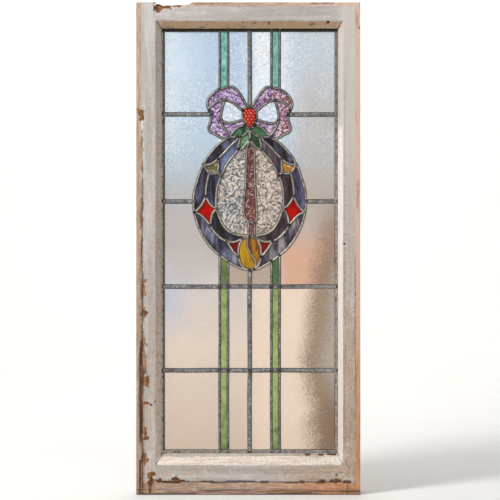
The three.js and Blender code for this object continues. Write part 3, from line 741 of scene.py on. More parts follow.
figureLines = {
    "bowOuter": [
        (2, 171.5), (7.4, 176), (11.3, 184), (16.5, 192.5), (23.2, 201), (31, 206.3), (40, 205.5),
        (50.5, 203.2), (60, 199), (68, 191.5), (73.3, 183.5), (75.1, 175.3), (73.5, 169), (71, 165),
    ],
    "bowFold": [(73, 168.5), (65.5, 175), (59, 179.5), (51.8, 182), (44.5, 183)],
    "loopTop": [(44.5, 183), (34, 180.4), (25.2, 175), (17.5, 168.2), (12, 165)],
    "loopSide": [(44.5, 183), (48, 171), (50.3, 161), (51, 153), (50.3, 148)],
    "loopFoot": [(50.3, 148), (46.5, 144.8), (38, 142.3), (29, 143.6), (20.5, 145.8), (11.5, 148.5)],
    "bowTail": [
        (71, 165), (68.2, 161), (67.6, 152), (69.3, 144.7), (72.5, 135), (71.5, 129.6), (68.4, 126.2),
        (61, 122.8), (54.2, 118.5), (48, 115.4), (41, 115.7), (37.2, 119),
    ],
    "bowDivider": [(50.3, 148), (49.1, 141.5), (46.3, 134.7), (42, 127.8), (35.5, 120)],
    "leafTop": [(9, 138.8), (18.5, 136), (24.8, 131.3), (30, 125.5), (35.5, 120)],
    "leafMiddle": [(1, 131.5), (7.8, 123.4), (13.2, 120), (20, 118.8), (29, 118.3), (37.2, 119)],
    "leafOuter": [(16.5, 119), (18.3, 111), (19.8, 104.5), (20.5, 97)],
    "leafFoot": [(20.5, 97), (14, 97.5), (10.5, 101), (7.4, 105), (3.5, 110), (0, 113)],
    "leafStem": [(0, 113), (0.5, 122), (1, 131.5)],
    "wreathOuter": [
        (38.5, 116.5), (48.5, 110.5), (57, 103.5), (65.6, 94.6), (73.3, 84.6), (79.7, 74.2), (84.8, 63.5),
        (91, 46), (95.5, 31), (98.6, 16), (99.3, 2), (98.5, -10), (95.6, -24), (88.8, -44), (79.5, -61),
        (70, -74.5), (60, -84.5), (48, -94), (32, -105), (15, -113.5), (0, -116.8),
    ],
    "bandUpper": [(22.5, 118.8), (22.3, 113.5), (27.2, 109), (37.4, 99.8), (42, 94.2), (49, 86.8), (56, 80)],
    "flowerTop": [(82, 69.8), (73.4, 69.5), (66.5, 72), (61, 75.5), (56, 80)],
    "flowerInner": [(56, 80), (55.9, 74), (55.9, 65), (57.5, 56)],
    "flowerFoot": [(81, 69.8), (77.8, 62.5), (73.5, 56.8), (67.5, 53.2), (62, 53.6), (57.5, 56)],
    "flowerLink": [(57.5, 56), (50.8, 50)],
    "oval": [
        (20.5, 97), (24.7, 90.2), (33.9, 79.7), (41.9, 68.5), (47.4, 57), (50.8, 50), (55, 39.2),
        (58.3, 26), (59.4, 12), (59.5, 3), (58.5, -7), (55.8, -16), (52.5, -25.5), (47.5, -36),
        (40.5, -45.5), (33, -50.6), (25, -53.5), (17, -55.2), (0, -56.5),
    ],
    "bandMiddle": [(71.5, 55), (73.6, 47.5), (75.7, 38), (77.3, 27), (77.7, 13.5)],
    "diamondOuter": [(77.7, 13.5), (80.3, 7), (84.5, -1), (90, -8), (97, -14.5)],
    "diamondLower": [(97, -14.5), (87, -18.6), (79, -26), (69.7, -37)],
    "diamondInner": [(69.7, -37), (68.2, -28), (66.8, -21.5), (64.5, -15.4), (57.5, -8)],
    "diamondUpper": [(57.5, -8), (66, -3.6), (70.5, 1), (74, 7), (77.7, 13.5)],
    "bandLower": [(69.7, -37), (67, -43), (62.5, -49), (57.8, -54), (52.5, -59), (46.5, -63), (40.5, -65.2)],
    "wedgeTop": [(40.5, -65.2), (32, -66.8), (24.5, -66.2), (18.5, -63.8), (12.5, -60.5)],
    "wedgeOuter": [(40.5, -65.2), (34, -76), (28.6, -84), (20, -93)],
    "footPetal": [
        (0, -57.5), (6.5, -58.5), (12.5, -61.5), (16.5, -67.5), (18.8, -74), (20, -81), (20.1, -88),
        (19.3, -96), (17.5, -103), (14.5, -108.5), (9, -113.5), (0, -116.5),
    ],
}
berryLine = [(0, 131), (5, 135.5), (10, 144), (12.7, 154), (12.3, 162), (8.5, 168.5), (0, 171)]
singleLines = {
    "ribbonLeft": [
        (-0.5, 113), (-4, 102), (-5.8, 90), (-6.3, 60), (-7, 32), (-9.5, 13), (-10.8, -8), (-10, -19),
        (-6.9, -26.5), (0, -31.5), (8, -33.5),
    ],
    "ribbonRight": [
        (-0.5, 113), (4.5, 103), (7.6, 93), (8.6, 65), (9.3, 39), (10.6, 17), (11.8, -3.5), (12.2, -17.6),
        (11, -27), (8, -33.5),
    ],
    "tailLeft": [(-2, -30.5), (-2.3, -44), (-2.5, -56.5)],
    "tailRight": [(8.2, -33.5), (8.7, -45), (8.6, -56)],
    "petalDivider": [
        (-2.8, -58), (-4.6, -68), (-3.2, -77), (0.9, -86), (6, -93.5), (10, -100), (10.5, -107), (8, -115),
    ],
}

leads = {
    "edgeWidth": 10.0,
    "edgeReach": 0.3,  # the edge leads' middle lines behind the sight edge
    "barWidth": 7.0,
    "stripWidth": 3.6,
    "figureWidth": 3.9,
    "beadWidth": 3.0,
    "stripInner": 38.3,
    "stripOuter": 52.9,
    "flangeOuter": 3.0,  # from the middle plane of the glass
    "flangeInner": 1.8,
    "heart": 1.6,
    "dome": 0.6,
    "step": 2.2,
    "straightStep": 7.0,
    "wander": 0.4,
    "cementLip": 0.6,
}


def mirrored(points):
    return [(-u, w) for u, w in points]


def placed(points):
    return np.array([(sash["middle"] + u, figureMiddle + w) for u, w in points], float)


def smoothLine(points, step):
    # centripetal curve through the drawn points, in millimetres on the glass
    spots = placed(points)
    if len(spots) == 2:
        return straightLine(*spots, step)
    ends = [2 * spots[0] - spots[1], *spots, 2 * spots[-1] - spots[-2]]
    made = []
    for p0, p1, p2, p3 in zip(ends, ends[1:], ends[2:], ends[3:]):
        t1 = np.linalg.norm(p1 - p0) ** 0.5
        t2 = t1 + np.linalg.norm(p2 - p1) ** 0.5
        t3 = t2 + np.linalg.norm(p3 - p2) ** 0.5
        count = max(2, math.ceil(np.linalg.norm(p2 - p1) / step))
        for t in np.linspace(t1, t2, count, endpoint=False):
            a1 = (t1 - t) / t1 * p0 + t / t1 * p1
            a2 = (t2 - t) / (t2 - t1) * p1 + (t - t1) / (t2 - t1) * p2
            a3 = (t3 - t) / (t3 - t2) * p2 + (t - t2) / (t3 - t2) * p3
            b1 = (t2 - t) / t2 * a1 + t / t2 * a2
            b2 = (t3 - t) / (t3 - t1) * a2 + (t - t1) / (t3 - t1) * a3
            made.append((t2 - t) / (t2 - t1) * b1 + (t - t1) / (t2 - t1) * b2)
    made.append(spots[-1])
    return np.array(made)


def straightLine(start, end, step):
    start = np.asarray(start, float)
    end = np.asarray(end, float)
    count = max(2, math.ceil(np.linalg.norm(end - start) / step) + 1)
    return np.linspace(start, end, count)


def levelOn(line, across):
    # height of a drawn line where it passes a distance from the middle
    order = np.argsort(line[:, 0])
    return float(np.interp(across, line[order, 0], line[order, 1]))


def leadLines():
    # every came: its middle line, its width and its kind
    step = leads["step"]
    long = leads["straightStep"]
    middle = sash["middle"]
    x0 = sash["sightLeft"] - leads["edgeReach"]
    x1 = sash["sightRight"] + leads["edgeReach"]
    z0 = sash["sightBottom"] - leads["edgeReach"]
    z1 = sash["sightTop"] + leads["edgeReach"]
    half = leads["edgeWidth"] / 2
    made = []
    for x in (x0, x1):
        made.append((straightLine((x, z0 - half), (x, z1 + half), long), leads["edgeWidth"], "edge"))
    for z in (z0, z1):
        made.append((straightLine((x0 - half, z), (x1 + half, z), long), leads["edgeWidth"], "edge"))
    wreath = smoothLine(figureLines["wreathOuter"], step)
    bow = smoothLine(figureLines["bowOuter"], step)
    tail = smoothLine(figureLines["bowTail"], step)
    # where bars and strips meet the figure
    foot = wreath[wreath[:, 1] < figureMiddle - 20]
    crown = bow[bow[:, 1] > figureMiddle + 185]
    tailSide = float(np.interp(-barLevels[3], -tail[:, 1], tail[:, 0]))
    sides = {2: np.max(wreath[:, 0]) - middle, 3: tailSide - middle}
    for index, z in enumerate(barLevels):
        if index in sides:
            gap = sides[index]
            made.append((straightLine((x0, z), (middle - gap, z), long), leads["barWidth"], "bar"))
            made.append((straightLine((middle + gap, z), (x1, z), long), leads["barWidth"], "bar"))
        else:
            made.append((straightLine((x0, z), (x1, z), long), leads["barWidth"], "bar"))
    knot = figureMiddle + 171.5
    made.append((straightLine((middle, z0), (middle, foot[:, 1].min()), long), leads["barWidth"], "bar"))
    made.append((straightLine((middle, knot), (middle, z1), long), leads["barWidth"], "bar"))
    for offset in (leads["stripInner"], leads["stripOuter"]):
        low = levelOn(foot, middle + offset)
        high = levelOn(crown, middle + offset)
        for side in (-1, 1):
            x = middle + side * offset
            made.append((straightLine((x, z0), (x, low), long), leads["stripWidth"], "strip"))
            made.append((straightLine((x, high), (x, z1), long), leads["stripWidth"], "strip"))
    for points in figureLines.values():
        for half in (points, mirrored(points)):
            made.append((smoothLine(half, step), leads["figureWidth"], "figure"))
    for points in (berryLine, mirrored(berryLine), *singleLines.values()):
        made.append((smoothLine(points, step), leads["beadWidth"], "bead"))
    return made


def cameProfile(width, dome):
    # an H, its flanges domed on the outside
    half = width / 2
    outer = leads["flangeOuter"]
    inner = leads["flangeInner"]
    heart = leads["heart"] / 2
    rim = inner + 0.3
    crown = [
        (-half, inner), (-half, rim), (-half * 0.66, outer), (-half * 0.36, outer + dome * 0.8),
        (0, outer + dome), (half * 0.36, outer + dome * 0.8), (half * 0.66, outer),
        (half, rim), (half, inner), (heart, inner),
    ]
    return crown + [(-across, -depth) for across, depth in crown]


def cementProfile(width, face):
    # a fillet of cement from the glass to the lip of the flange, front or back
    half = width / 2
    lip = half + leads["cementLip"]
    glass = 1.45
    return [(-lip, face * glass), (-half, face * 1.95), (half, face * 1.95), (lip, face * glass)]


def flatCurve(name, lines, closed=False):
    curve = bpy.data.curves.new(name, "CURVE")
    curve.dimensions = "2D"
    curve.fill_mode = "NONE"
    for line in lines:
        spline = curve.splines.new("POLY")
        spline.points.add(len(line) - 1)
        for point, (across, up) in zip(spline.points, line):
            point.co = (across * mm, up * mm, 0, 1)
        spline.use_cyclic_u = closed
    made = bpy.data.objects.new(name, curve)
    bpy.context.scene.collection.objects.link(made)
    return made


def sweep(name, lines, profile):
    # the profile carried along each line, stood up in the plane of the glass
    section = flatCurve(name + "_section", [profile], closed=True)
    path = flatCurve(name, lines)
    path.data.bevel_mode = "OBJECT"
    path.data.bevel_object = section
    path.data.use_fill_caps = True
    activate(path)
    bpy.ops.object.convert(target="MESH")
    swept = bpy.context.view_layer.objects.active
    bpy.data.objects.remove(section)
    points = readPoints(swept)
    writePoints(swept, np.column_stack([points[:, 0], sash["leadMiddle"] - points[:, 2], points[:, 1]]))
    startEditing()
    bpy.ops.mesh.remove_doubles(threshold=0.005 * mm)
    bpy.ops.mesh.normals_make_consistent(inside=False)
    bpy.ops.object.mode_set(mode="OBJECT")
    return swept


def joinPieces(pieces, name):
    activate(pieces[0])
    for piece in pieces[1:]:
        piece.select_set(True)
    bpy.ops.object.join()
    joined = bpy.context.view_layer.objects.active
    joined.name = name
    return joined


def wanderLeads(points):
    # old leads are never quite straight
    shift = leads["wander"]
    points = points.copy()
    inside = smooth(0, 20, points[:, 0] - sash["sightLeft"])
    inside = inside * smooth(0, 20, sash["sightRight"] - points[:, 0])
    points[:, 0] += inside * shift * 2 * (softNoise(points * (1, 0, 1), 55, 81) - 0.5)
    points[:, 2] += inside * shift * 2 * (softNoise(points * (1, 0, 1), 55, 82) - 0.5)
    return points


def leadMaterial():
    material, tree, shader = newMaterial("old_lead")
    coords = objectCoords(tree)
    masks = masksOf(tree, "tone")[0]
    oxide = noiseValue(tree, coords, 160, detail=5, roughness=0.65)
    grey = ramp(tree, oxide, [
        (0.25, srgb(84, 82, 82)), (0.5, srgb(124, 124, 126)), (0.7, srgb(158, 158, 158)),
    ])
    pale = ramp(tree, oxide, [
        (0.25, srgb(128, 118, 108)), (0.5, srgb(182, 172, 160)), (0.7, srgb(228, 220, 208)),
    ])
    # the first tone channel pales the lead: partly painted highlight
    colour = blended(tree, masks[0], grey, pale)
    bright = patches(tree, coords, 190, 0.42)
    colour = blended(tree, times(tree, bright, 0.62), colour, srgb(210, 206, 202))
    crumbs = times(tree, patches(tree, coords, 400, 0.42), masks[0])
    colour = blended(tree, times(tree, crumbs, 0.6), colour, srgb(240, 234, 226))
    tarnish = patches(tree, coords, 120, 0.4)
    colour = blended(tree, times(tree, tarnish, 0.6), colour, srgb(66, 58, 52))
    # the second tone channel darkens it: painted shade, darker solder and spots of tarnish
    colour = blended(tree, masks[1], colour, srgb(42, 36, 32))
    polish = ranged(tree, oxide, 0.3, 0.7, 0.55, 0.34)
    setShader(tree, shader, {"Base Color": colour, "Roughness": polish, "Metallic": 0.5})
    dents = noiseValue(tree, coords, 300, detail=3)
    addBump(tree, shader, dents, 0.5, 0.4)
    return material


def cementMaterial():
    material, tree, shader = newMaterial("glazing_cement")
    coords = objectCoords(tree)
    crumbs = noiseValue(tree, coords, 700, detail=3, roughness=0.7)
    colour = ramp(tree, crumbs, [(0.3, srgb(28, 26, 25)), (0.6, srgb(58, 54, 50)), (0.8, srgb(98, 92, 84))])
    setShader(tree, shader, {"Base Color": colour, "Roughness": 0.9})
    addBump(tree, shader, crumbs, 0.6, 0.3)
    return material


solder = {"radius": 3.4, "height": 0.75, "apart": 5.0, "segments": 12, "rings": 6}


def solderSpots(lines):
    # ends of the figure's leads, and every crossing of the straight ones
    spots = []

    def add(spot, size, kind):
        for other, _, _ in spots:
            if math.hypot(spot[0] - other[0], spot[1] - other[1]) < solder["apart"]:
                return
        spots.append((spot, size, kind))

    uprights = [
        line for line, _, kind in lines if kind in ("bar", "strip") and abs(line[0][0] - line[-1][0]) < 1
    ]
    levels = [line for line, _, kind in lines if kind == "bar" and abs(line[0][1] - line[-1][1]) < 1]
    for upright in uprights:
        x = upright[0][0]
        for level in levels:
            z = level[0][1]
            inX = min(level[0][0], level[-1][0]) - 1 < x < max(level[0][0], level[-1][0]) + 1
            inZ = upright[0][1] - 1 < z < upright[-1][1] + 1
            if inX and inZ:
                add((x, z), 1.3, "dark")
    for line, _, kind in lines:
        if kind == "edge":
            continue
        for end in (line[0], line[-1]):
            add(tuple(end), {"bar": 1.2, "strip": 0.9, "figure": 0.98, "bead": 0.75}[kind], "mixed")
    return spots


def buildLeads():
    lines = leadLines()
    material = leadMaterial()
    widths = sorted({(width, kind == "edge") for _, width, kind in lines})
    nets = []
    cements = []
    for width, flat in widths:
        chosen = [line for line, other, _ in lines if other == width]
        nets.append(sweep(f"came_{width:g}", chosen, cameProfile(width, 0.0 if flat else leads["dome"])))
        for face in (-1, 1):
            cements.append(sweep(f"cement_{width:g}", chosen, cementProfile(width, face)))
    net = joinPieces(nets, "lead_came_net")
    points = wanderLeads(readPoints(net))
    points[:, 1] += 0.12 * (roughNoise(points, 16, 83) - 0.5)
    writePoints(net, points)
    x, y, z = points.T
    inWreath = smooth(1.12, 1.04, np.hypot((x - sash["middle"]) / 99, (z - figureMiddle) / 117))
    bow = smooth(figureMiddle + 112, figureMiddle + 122, z) * smooth(80, 76, np.abs(x - sash["middle"]))
    bow = bow * smooth(figureMiddle + 212, figureMiddle + 206, z)
    right = smooth(60, 150, x)
    # paler leads in the wreath, the bow and low on the right: painted highlight; the edge leads are made
    # paler too
    pale = np.maximum(inWreath * (0.55 + 0.4 * smooth(580, 460, z)), 0.25 * bow)
    pale = np.maximum(pale, 0.4 * right * smooth(520, 380, z))
    pale = np.maximum(pale, 0.7 * smooth(152.5, 153.5, x))
    pale = np.maximum(pale, 0.95 * smooth(-146, -148, x))
    pale = np.maximum(pale, 0.6 * smooth(78, 76, z))
    # painted shade on the sloping rims of the domed cames, most in the figure
    rim = (1 - smooth(2.5, 3.55, np.abs(y - sash["leadMiddle"]))) * (0.35 + 0.65 * np.maximum(inWreath, bow))
    shaded = 0.9 * smooth(813, 816, z) + 0.25 * smooth(figureMiddle + 170, figureMiddle + 230, z)
    shaded = np.maximum(shaded, 0.5 * smooth(150, 153, x) * smooth(560, 700, z))
    shaded = np.maximum(shaded, 0.85 * smooth(-150.9, -149.7, x) * smooth(-146.4, -146.9, x))
    # random dark spots of tarnish join the painted shade
    spots = smooth(0.58, 0.72, roughNoise(points, 9, 84))
    shaded = np.maximum(shaded, np.maximum(0.9 * rim, 0.5 * spots))
    writeColours(net, "tone", [pale, shaded, 0 * x, 1 + 0 * x])
    finishPiece(net, material, ["lead_cames"])
    cement = joinPieces(cements, "glazing_cement")
    writePoints(cement, wanderLeads(readPoints(cement)))
    finishPiece(cement, cementMaterial())
    buildSolder(lines, material)
    print("leads done")


def buildSolder(lines, material):
    bpy.ops.mesh.primitive_uv_sphere_add(
        segments=solder["segments"], ring_count=solder["rings"], radius=1, location=(0, 0, 0),
    )
    pattern = bpy.context.view_layer.objects.active
    shape = np.empty(len(pattern.data.vertices) * 3)
    pattern.data.vertices.foreach_get("co", shape)
    shape = shape.reshape(-1, 3)
    blobs = []
    tones = []
    outer = leads["flangeOuter"] + leads["dome"] * 0.55
    for number, ((x, z), size, kind) in enumerate(solderSpots(lines)):
        for face in (1, -1):
            blob = bpy.data.objects.new(f"solder_{number}_{face}", pattern.data.copy())
            bpy.context.scene.collection.objects.link(blob)
            radius = solder["radius"] * size
            lumps = 0.78 + 0.5 * softNoise(shape * 2 + number * 3.7 + face, 1.1, 91)
            made = np.empty_like(shape)
            made[:, 0] = x + shape[:, 0] * radius * lumps
            made[:, 2] = z + shape[:, 2] * radius * lumps * 0.92
            made[:, 1] = sash["leadMiddle"] - face * outer + shape[:, 1] * solder["height"]
            writePoints(blob, wanderLeads(made))
            blobs.append(blob)
            tones.append(0.75 if kind == "dark" else 0.5 + 0.5 * scramble(np.array([[number, 3, 5]]), 92)[0])
    bpy.data.objects.remove(pattern)
    counts = [len(blob.data.vertices) for blob in blobs]
    joined = joinPieces(blobs, "solder_joints")
    z = readPoints(joined)[:, 2]
    # solder in the wreath is paler: painted highlight, as on the leads there
    inWreath = smooth(112, 100, z - figureMiddle) * smooth(-122, -112, z - figureMiddle)
    writeColours(joined, "tone", [0.5 * inWreath, np.repeat(tones, counts), 0 * z, 1 + 0 * z])
    finishPiece(joined, material)


# Glass

def backgroundGlass():
    # stippled rolled glass, with the room behind it painted into its colour: cool and clear at the top, warm
    # lower down and on the right
    material, tree, shader = newMaterial("clear_textured_glass")
    coords = objectCoords(tree)
    place = placesOf(tree, coords)
    cloud = noiseValue(tree, coords, 11, detail=3, roughness=0.5)
    grain = noiseValue(tree, coords, 390, detail=2, roughness=0.6)
    grainShift = minus(tree, grain, 0.5)
    cloudShift = minus(tree, cloud, 0.5)
    lifted = plus(tree, place[2], times(tree, cloudShift, 0.1))
    height = ranged(tree, lifted, 0.0, 0.86)
    height.node.interpolation_type = "LINEAR"
    paintedViewBehind = ramp(tree, height, [
        (0.08, srgb(214, 194, 176)), (0.3, srgb(230, 213, 200)), (0.42, srgb(214, 206, 204)),
        (0.51, srgb(194, 187, 186)), (0.6, srgb(190, 188, 190)), (0.69, srgb(184, 204, 220)),
        (0.78, srgb(204, 223, 243)), (0.95, srgb(188, 211, 233)),
    ])
    # blue sky shows in the left panes between the wreath and the third bar
    blueX = ranged(tree, place[0], -0.09, -0.14)
    blueZ = times(tree, ranged(tree, height, 0.3, 0.4), ranged(tree, height, 0.5, 0.43))
    paintedViewBehind = blended(tree, times(tree, blueX, times(tree, blueZ, 0.7)), paintedViewBehind, srgb(198, 202, 224))
    sideX = ranged(tree, lifted, 0.55, 0.66)
    sideX = times(tree, sideX, ranged(tree, place[0], -0.09, -0.15))
    paintedViewBehind = blended(tree, times(tree, sideX, 0.65), paintedViewBehind, srgb(228, 238, 248))
    duskX = times(tree, ranged(tree, place[0], -0.12, -0.05), ranged(tree, place[0], 0.0, -0.02))
    dusk = times(tree, duskX, ranged(tree, lifted, 0.57, 0.66))
    paintedViewBehind = blended(tree, times(tree, dusk, 0.5), paintedViewBehind, srgb(160, 184, 216))
    # a bright window behind the upper middle
    glowX = times(tree, ranged(tree, place[0], 0.0, 0.02), ranged(tree, place[0], 0.1, 0.045))
    glowZ = ranged(tree, place[2], 0.62, 0.7)
    glow = times(tree, times(tree, glowX, glowZ), ranged(tree, cloud, 0.3, 0.55, 0.5, 1.0))
    paintedViewBehind = blended(tree, glow, paintedViewBehind, srgb(246, 250, 255))
    # a brown reveal seen through the right-hand panes, its edge broken up by the stipple
    tilt = times(tree, calc(tree, "POWER", minus(tree, place[2], 0.2), 2), -0.42)
    across = plus(tree, plus(tree, place[0], tilt), times(tree, grainShift, 0.09))
    across = plus(tree, across, times(tree, cloudShift, 0.05))
    reveal = times(tree, ranged(tree, across, 0.086, 0.126), ranged(tree, place[2], 0.56, 0.44))
    beyond = ranged(tree, across, 0.118, 0.142)
    beyond = times(tree, beyond, ranged(tree, place[2], 0.12, 0.24))
    revealColour = blended(tree, beyond, srgb(140, 114, 94), srgb(182, 168, 157))
    # warm light in the third row on the right
    warmX = ranged(tree, place[0], 0.04, 0.07)
    warmZ = times(tree, ranged(tree, place[2], 0.36, 0.37), ranged(tree, lifted, 0.52, 0.4))
    warm = times(tree, warmX, times(tree, warmZ, 0.9))
    paintedViewBehind = blended(tree, warm, paintedViewBehind, srgb(220, 172, 144))
    shadeX = times(tree, ranged(tree, place[0], -0.05, -0.03), ranged(tree, place[0], 0.055, 0.04))
    shadeZ = times(tree, ranged(tree, place[2], 0.36, 0.37), ranged(tree, place[2], 0.44, 0.42))
    paintedViewBehind = blended(tree, times(tree, shadeX, times(tree, shadeZ, 0.8)), paintedViewBehind, srgb(178, 156, 138))
    peach = times(tree, ranged(tree, place[0], -0.02, 0.03), ranged(tree, place[2], 0.37, 0.36))
    paintedViewBehind = blended(tree, times(tree, peach, 0.85), paintedViewBehind, srgb(243, 222, 202))
    upperRight = times(tree, ranged(tree, place[0], 0.05, 0.11), ranged(tree, place[2], 0.44, 0.5))
    upperColour = blended(tree, ranged(tree, lifted, 0.67, 0.78), srgb(190, 176, 165), srgb(194, 202, 207))
    paintedViewBehind = blended(tree, times(tree, upperRight, 0.8), paintedViewBehind, upperColour)
    colour = blended(tree, reveal, paintedViewBehind, revealColour)
    # the pressed pattern: fine light and dark grains, strongest in drifts, painted as the glints and dark
    # specks its refraction shows
    drift = noiseValue(tree, coords, 11, detail=3, roughness=0.6)
    upper = ranged(tree, place[2], 0.5, 0.62)
    upperGrain = plus(tree, times(tree, upper, 0.55), 0.16)
    strength = times(tree, ranged(tree, drift, 0.34, 0.6, 0.3, 1.0), upperGrain)
    darkGrain = times(tree, ranged(tree, grain, 0.56, 0.4), strength)
    lightGrain = times(tree, ranged(tree, grain, 0.5, 0.64), times(tree, strength, upper))
    colour = blended(tree, darkGrain, colour, blended(tree, upper, srgb(158, 136, 120), srgb(158, 176, 200)))
    colour = blended(tree, lightGrain, colour, srgb(246, 250, 255))
    setShader(tree, shader, {
        "Base Color": colour, "Roughness": 0.3, "Transmission Weight": 0.92, "IOR": 1.45, "Metallic": 0.0,
    })
    addStipple(tree, shader, coords, 340.0)
    return material


def stripGlass(name, dark, mid, light, mottle):
    material, tree, shader = newMaterial(name)
    coords = objectCoords(tree, stretch=(1, 1, 0.7))
    clouds = noiseValue(tree, coords, mottle, detail=4, roughness=0.6)
    colour = ramp(tree, clouds, [(0.3, dark), (0.5, mid), (0.7, light)])
    place = placesOf(tree, objectCoords(tree))
    nearFoot = ranged(tree, place[2], 0.105, 0.07)
    underWreath = times(tree, ranged(tree, place[2], 0.36, 0.372), ranged(tree, place[2], 0.6, 0.55))
    underBow = ranged(tree, place[2], 0.735, 0.7)
    underBow = times(tree, underBow, ranged(tree, place[2], 0.6, 0.65))
    dim = plus(tree, nearFoot, times(tree, underWreath, 0.9), clamp=True)
    dim = minus(tree, dim, underBow, clamp=True)
    colour = blended(tree, times(tree, dim, 0.7), colour, dark)
    onRight = ranged(tree, place[0], -0.01, 0.01)
    deep = times(tree, times(tree, onRight, underWreath), 0.75)
    colour = blended(tree, deep, colour, srgb(58, 104, 62))
    greener = times(tree, onRight, ranged(tree, place[2], 0.6, 0.66, 0.0, 0.3))
    colour = blended(tree, greener, colour, srgb(122, 168, 120))
    setShader(tree, shader, {
        "Base Color": colour, "Roughness": 0.22, "Transmission Weight": 0.85, "IOR": 1.47, "Metallic": 0.0,
    })
    addStipple(tree, shader, coords, 430.0)
    return material


def reliefGlass(
    name, stops, second=None, transmission=0.8, roughness=0.12, grain=0.18, specular=0.5, lean=0.2,
):
    # glass whose colour follows its own hammered cells, kept in the relief attribute, painted lighter and
    # darker cell by cell as the facets' sparkle
    material, tree, shader = newMaterial(name)
    coords = objectCoords(tree)
    masks = masksOf(tree, "relief")[0]
    fine = noiseValue(tree, coords, 640, detail=2, roughness=0.6)
    value = plus(tree, masks[0], times(tree, minus(tree, fine, 0.5), grain * 4))
    colour = ramp(tree, value, coloured(stops))
    if second:
        place = placesOf(tree, coords)
        patch = noiseValue(tree, coords, 95, detail=3)
        patchShift = times(tree, minus(tree, patch, 0.5), 1.6)
        toWarm = plus(tree, ranged(tree, place[0], -0.03, 0.08), patchShift)
        warm = ramp(tree, value, coloured(second))
        colour = blended(tree, ranged(tree, toWarm, lean, lean + 0.6), colour, warm)
    setShader(tree, shader, {
        "Base Color": colour, "Roughness": roughness, "Transmission Weight": transmission, "IOR": 1.5,
        "Metallic": 0.0, "Specular IOR Level": specular,
    })
    addBump(tree, shader, fine, 0.25, 0.3)
    return material


def streakyGlass(name, stops, turn, scale=34, swirl=None, transmission=0.25, contrast=1.0):
    # opalescent sheet with pulled streaks; swirl is a middle X and Z, a reach and a shift of tone
    material, tree, shader = newMaterial(name)
    coords = objectCoords(tree, stretch=(1, 1, 0.22), turn=(0, turn, 0))
    streaks = noiseValue(tree, coords, scale, detail=5, roughness=0.62, distortion=1.1)
    fine = noiseValue(tree, objectCoords(tree), 210, detail=3, roughness=0.6)
    value = times(tree, minus(tree, streaks, 0.5), 1.5 * contrast)
    value = plus(tree, plus(tree, value, 0.5), times(tree, minus(tree, fine, 0.5), 0.2))
    if swirl:
        middleX, middleZ, reach, shift = swirl
        place = placesOf(tree, objectCoords(tree))
        across = calc(tree, "POWER", minus(tree, place[0], middleX * mm), 2)
        along = calc(tree, "POWER", minus(tree, place[2], middleZ * mm), 2)
        away = calc(tree, "SQRT", plus(tree, across, along), 0)
        away = plus(tree, away, times(tree, minus(tree, streaks, 0.5), 0.03))
        value = plus(tree, value, ranged(tree, away, reach * mm, 0.4 * reach * mm, 0, shift))
    colour = ramp(tree, value, coloured(stops))
    setShader(tree, shader, {
        "Base Color": colour, "Roughness": 0.14, "Transmission Weight": transmission, "IOR": 1.5,
        "Metallic": 0.0, "Specular IOR Level": 0.4,
    })
    addBump(tree, shader, streaks, 0.25, 0.5)
    return material


relief = {
    "bow": {"cell": 2.6, "depth": 0.5, "voxel": 0.75},
    "loop": {"cell": 3.6, "depth": 0.3, "voxel": 1.0},
    "oval": {"cell": 2.7, "depth": 0.55, "voxel": 0.75},
    "ribbon": {"cell": 2.4, "depth": 0.4, "voxel": 0.75},
    "slate": {"cell": 9.0, "depth": 0.18, "voxel": 1.3},
    "plain": {"cell": 12.0, "depth": 0.1, "voxel": 1.0},
}


def hammer(piece, kind, seed):
    # small facets pressed into both faces; the colour follows the same cells, as painted sparkle
    settings = relief[kind]
    remesh(piece, settings["voxel"])
    points = readPoints(piece)
    normals = readNormals(piece)
    warped = points + 1.6 * (np.column_stack([softNoise(points, 5, seed + k) for k in range(3)]) - 0.5)
    edge, value = cellNoise(warped, settings["cell"], seed)
    lens = smooth(0, 0.55, edge)
    tilt = 0.5 + 0.5 * np.sin(points[:, 0] * 2.1 + value * 40) * np.cos(points[:, 2] * 1.7 + value * 23)
    dent = settings["depth"] * ((1 - lens) * 0.7 + 0.3 * value) + 0.02
    faces = smooth(0.6, 0.9, np.abs(normals[:, 1]))
    points = points - normals * (faces * dent)[:, None]
    writePoints(piece, points)
    shine = np.clip(0.62 * value + 0.38 * tilt, 0, 1)
    writeColours(piece, "relief", [shine, lens, value, 1 + 0 * value])


berry = {
    "voxel": 0.75,
    "firstRow": 133.5,  # above the wreath's middle
    "rowGap": 5.2,
    "beadGap": 6.2,
    "beadRadius": 3.25,
    "domeDepth": 3.4,
    "beadDepth": 1.5,
    "levels": [131, 136, 144, 154, 162, 168, 171],
    "halfWidths": [2, 6, 10.2, 12.6, 12.2, 8.6, 2],
}


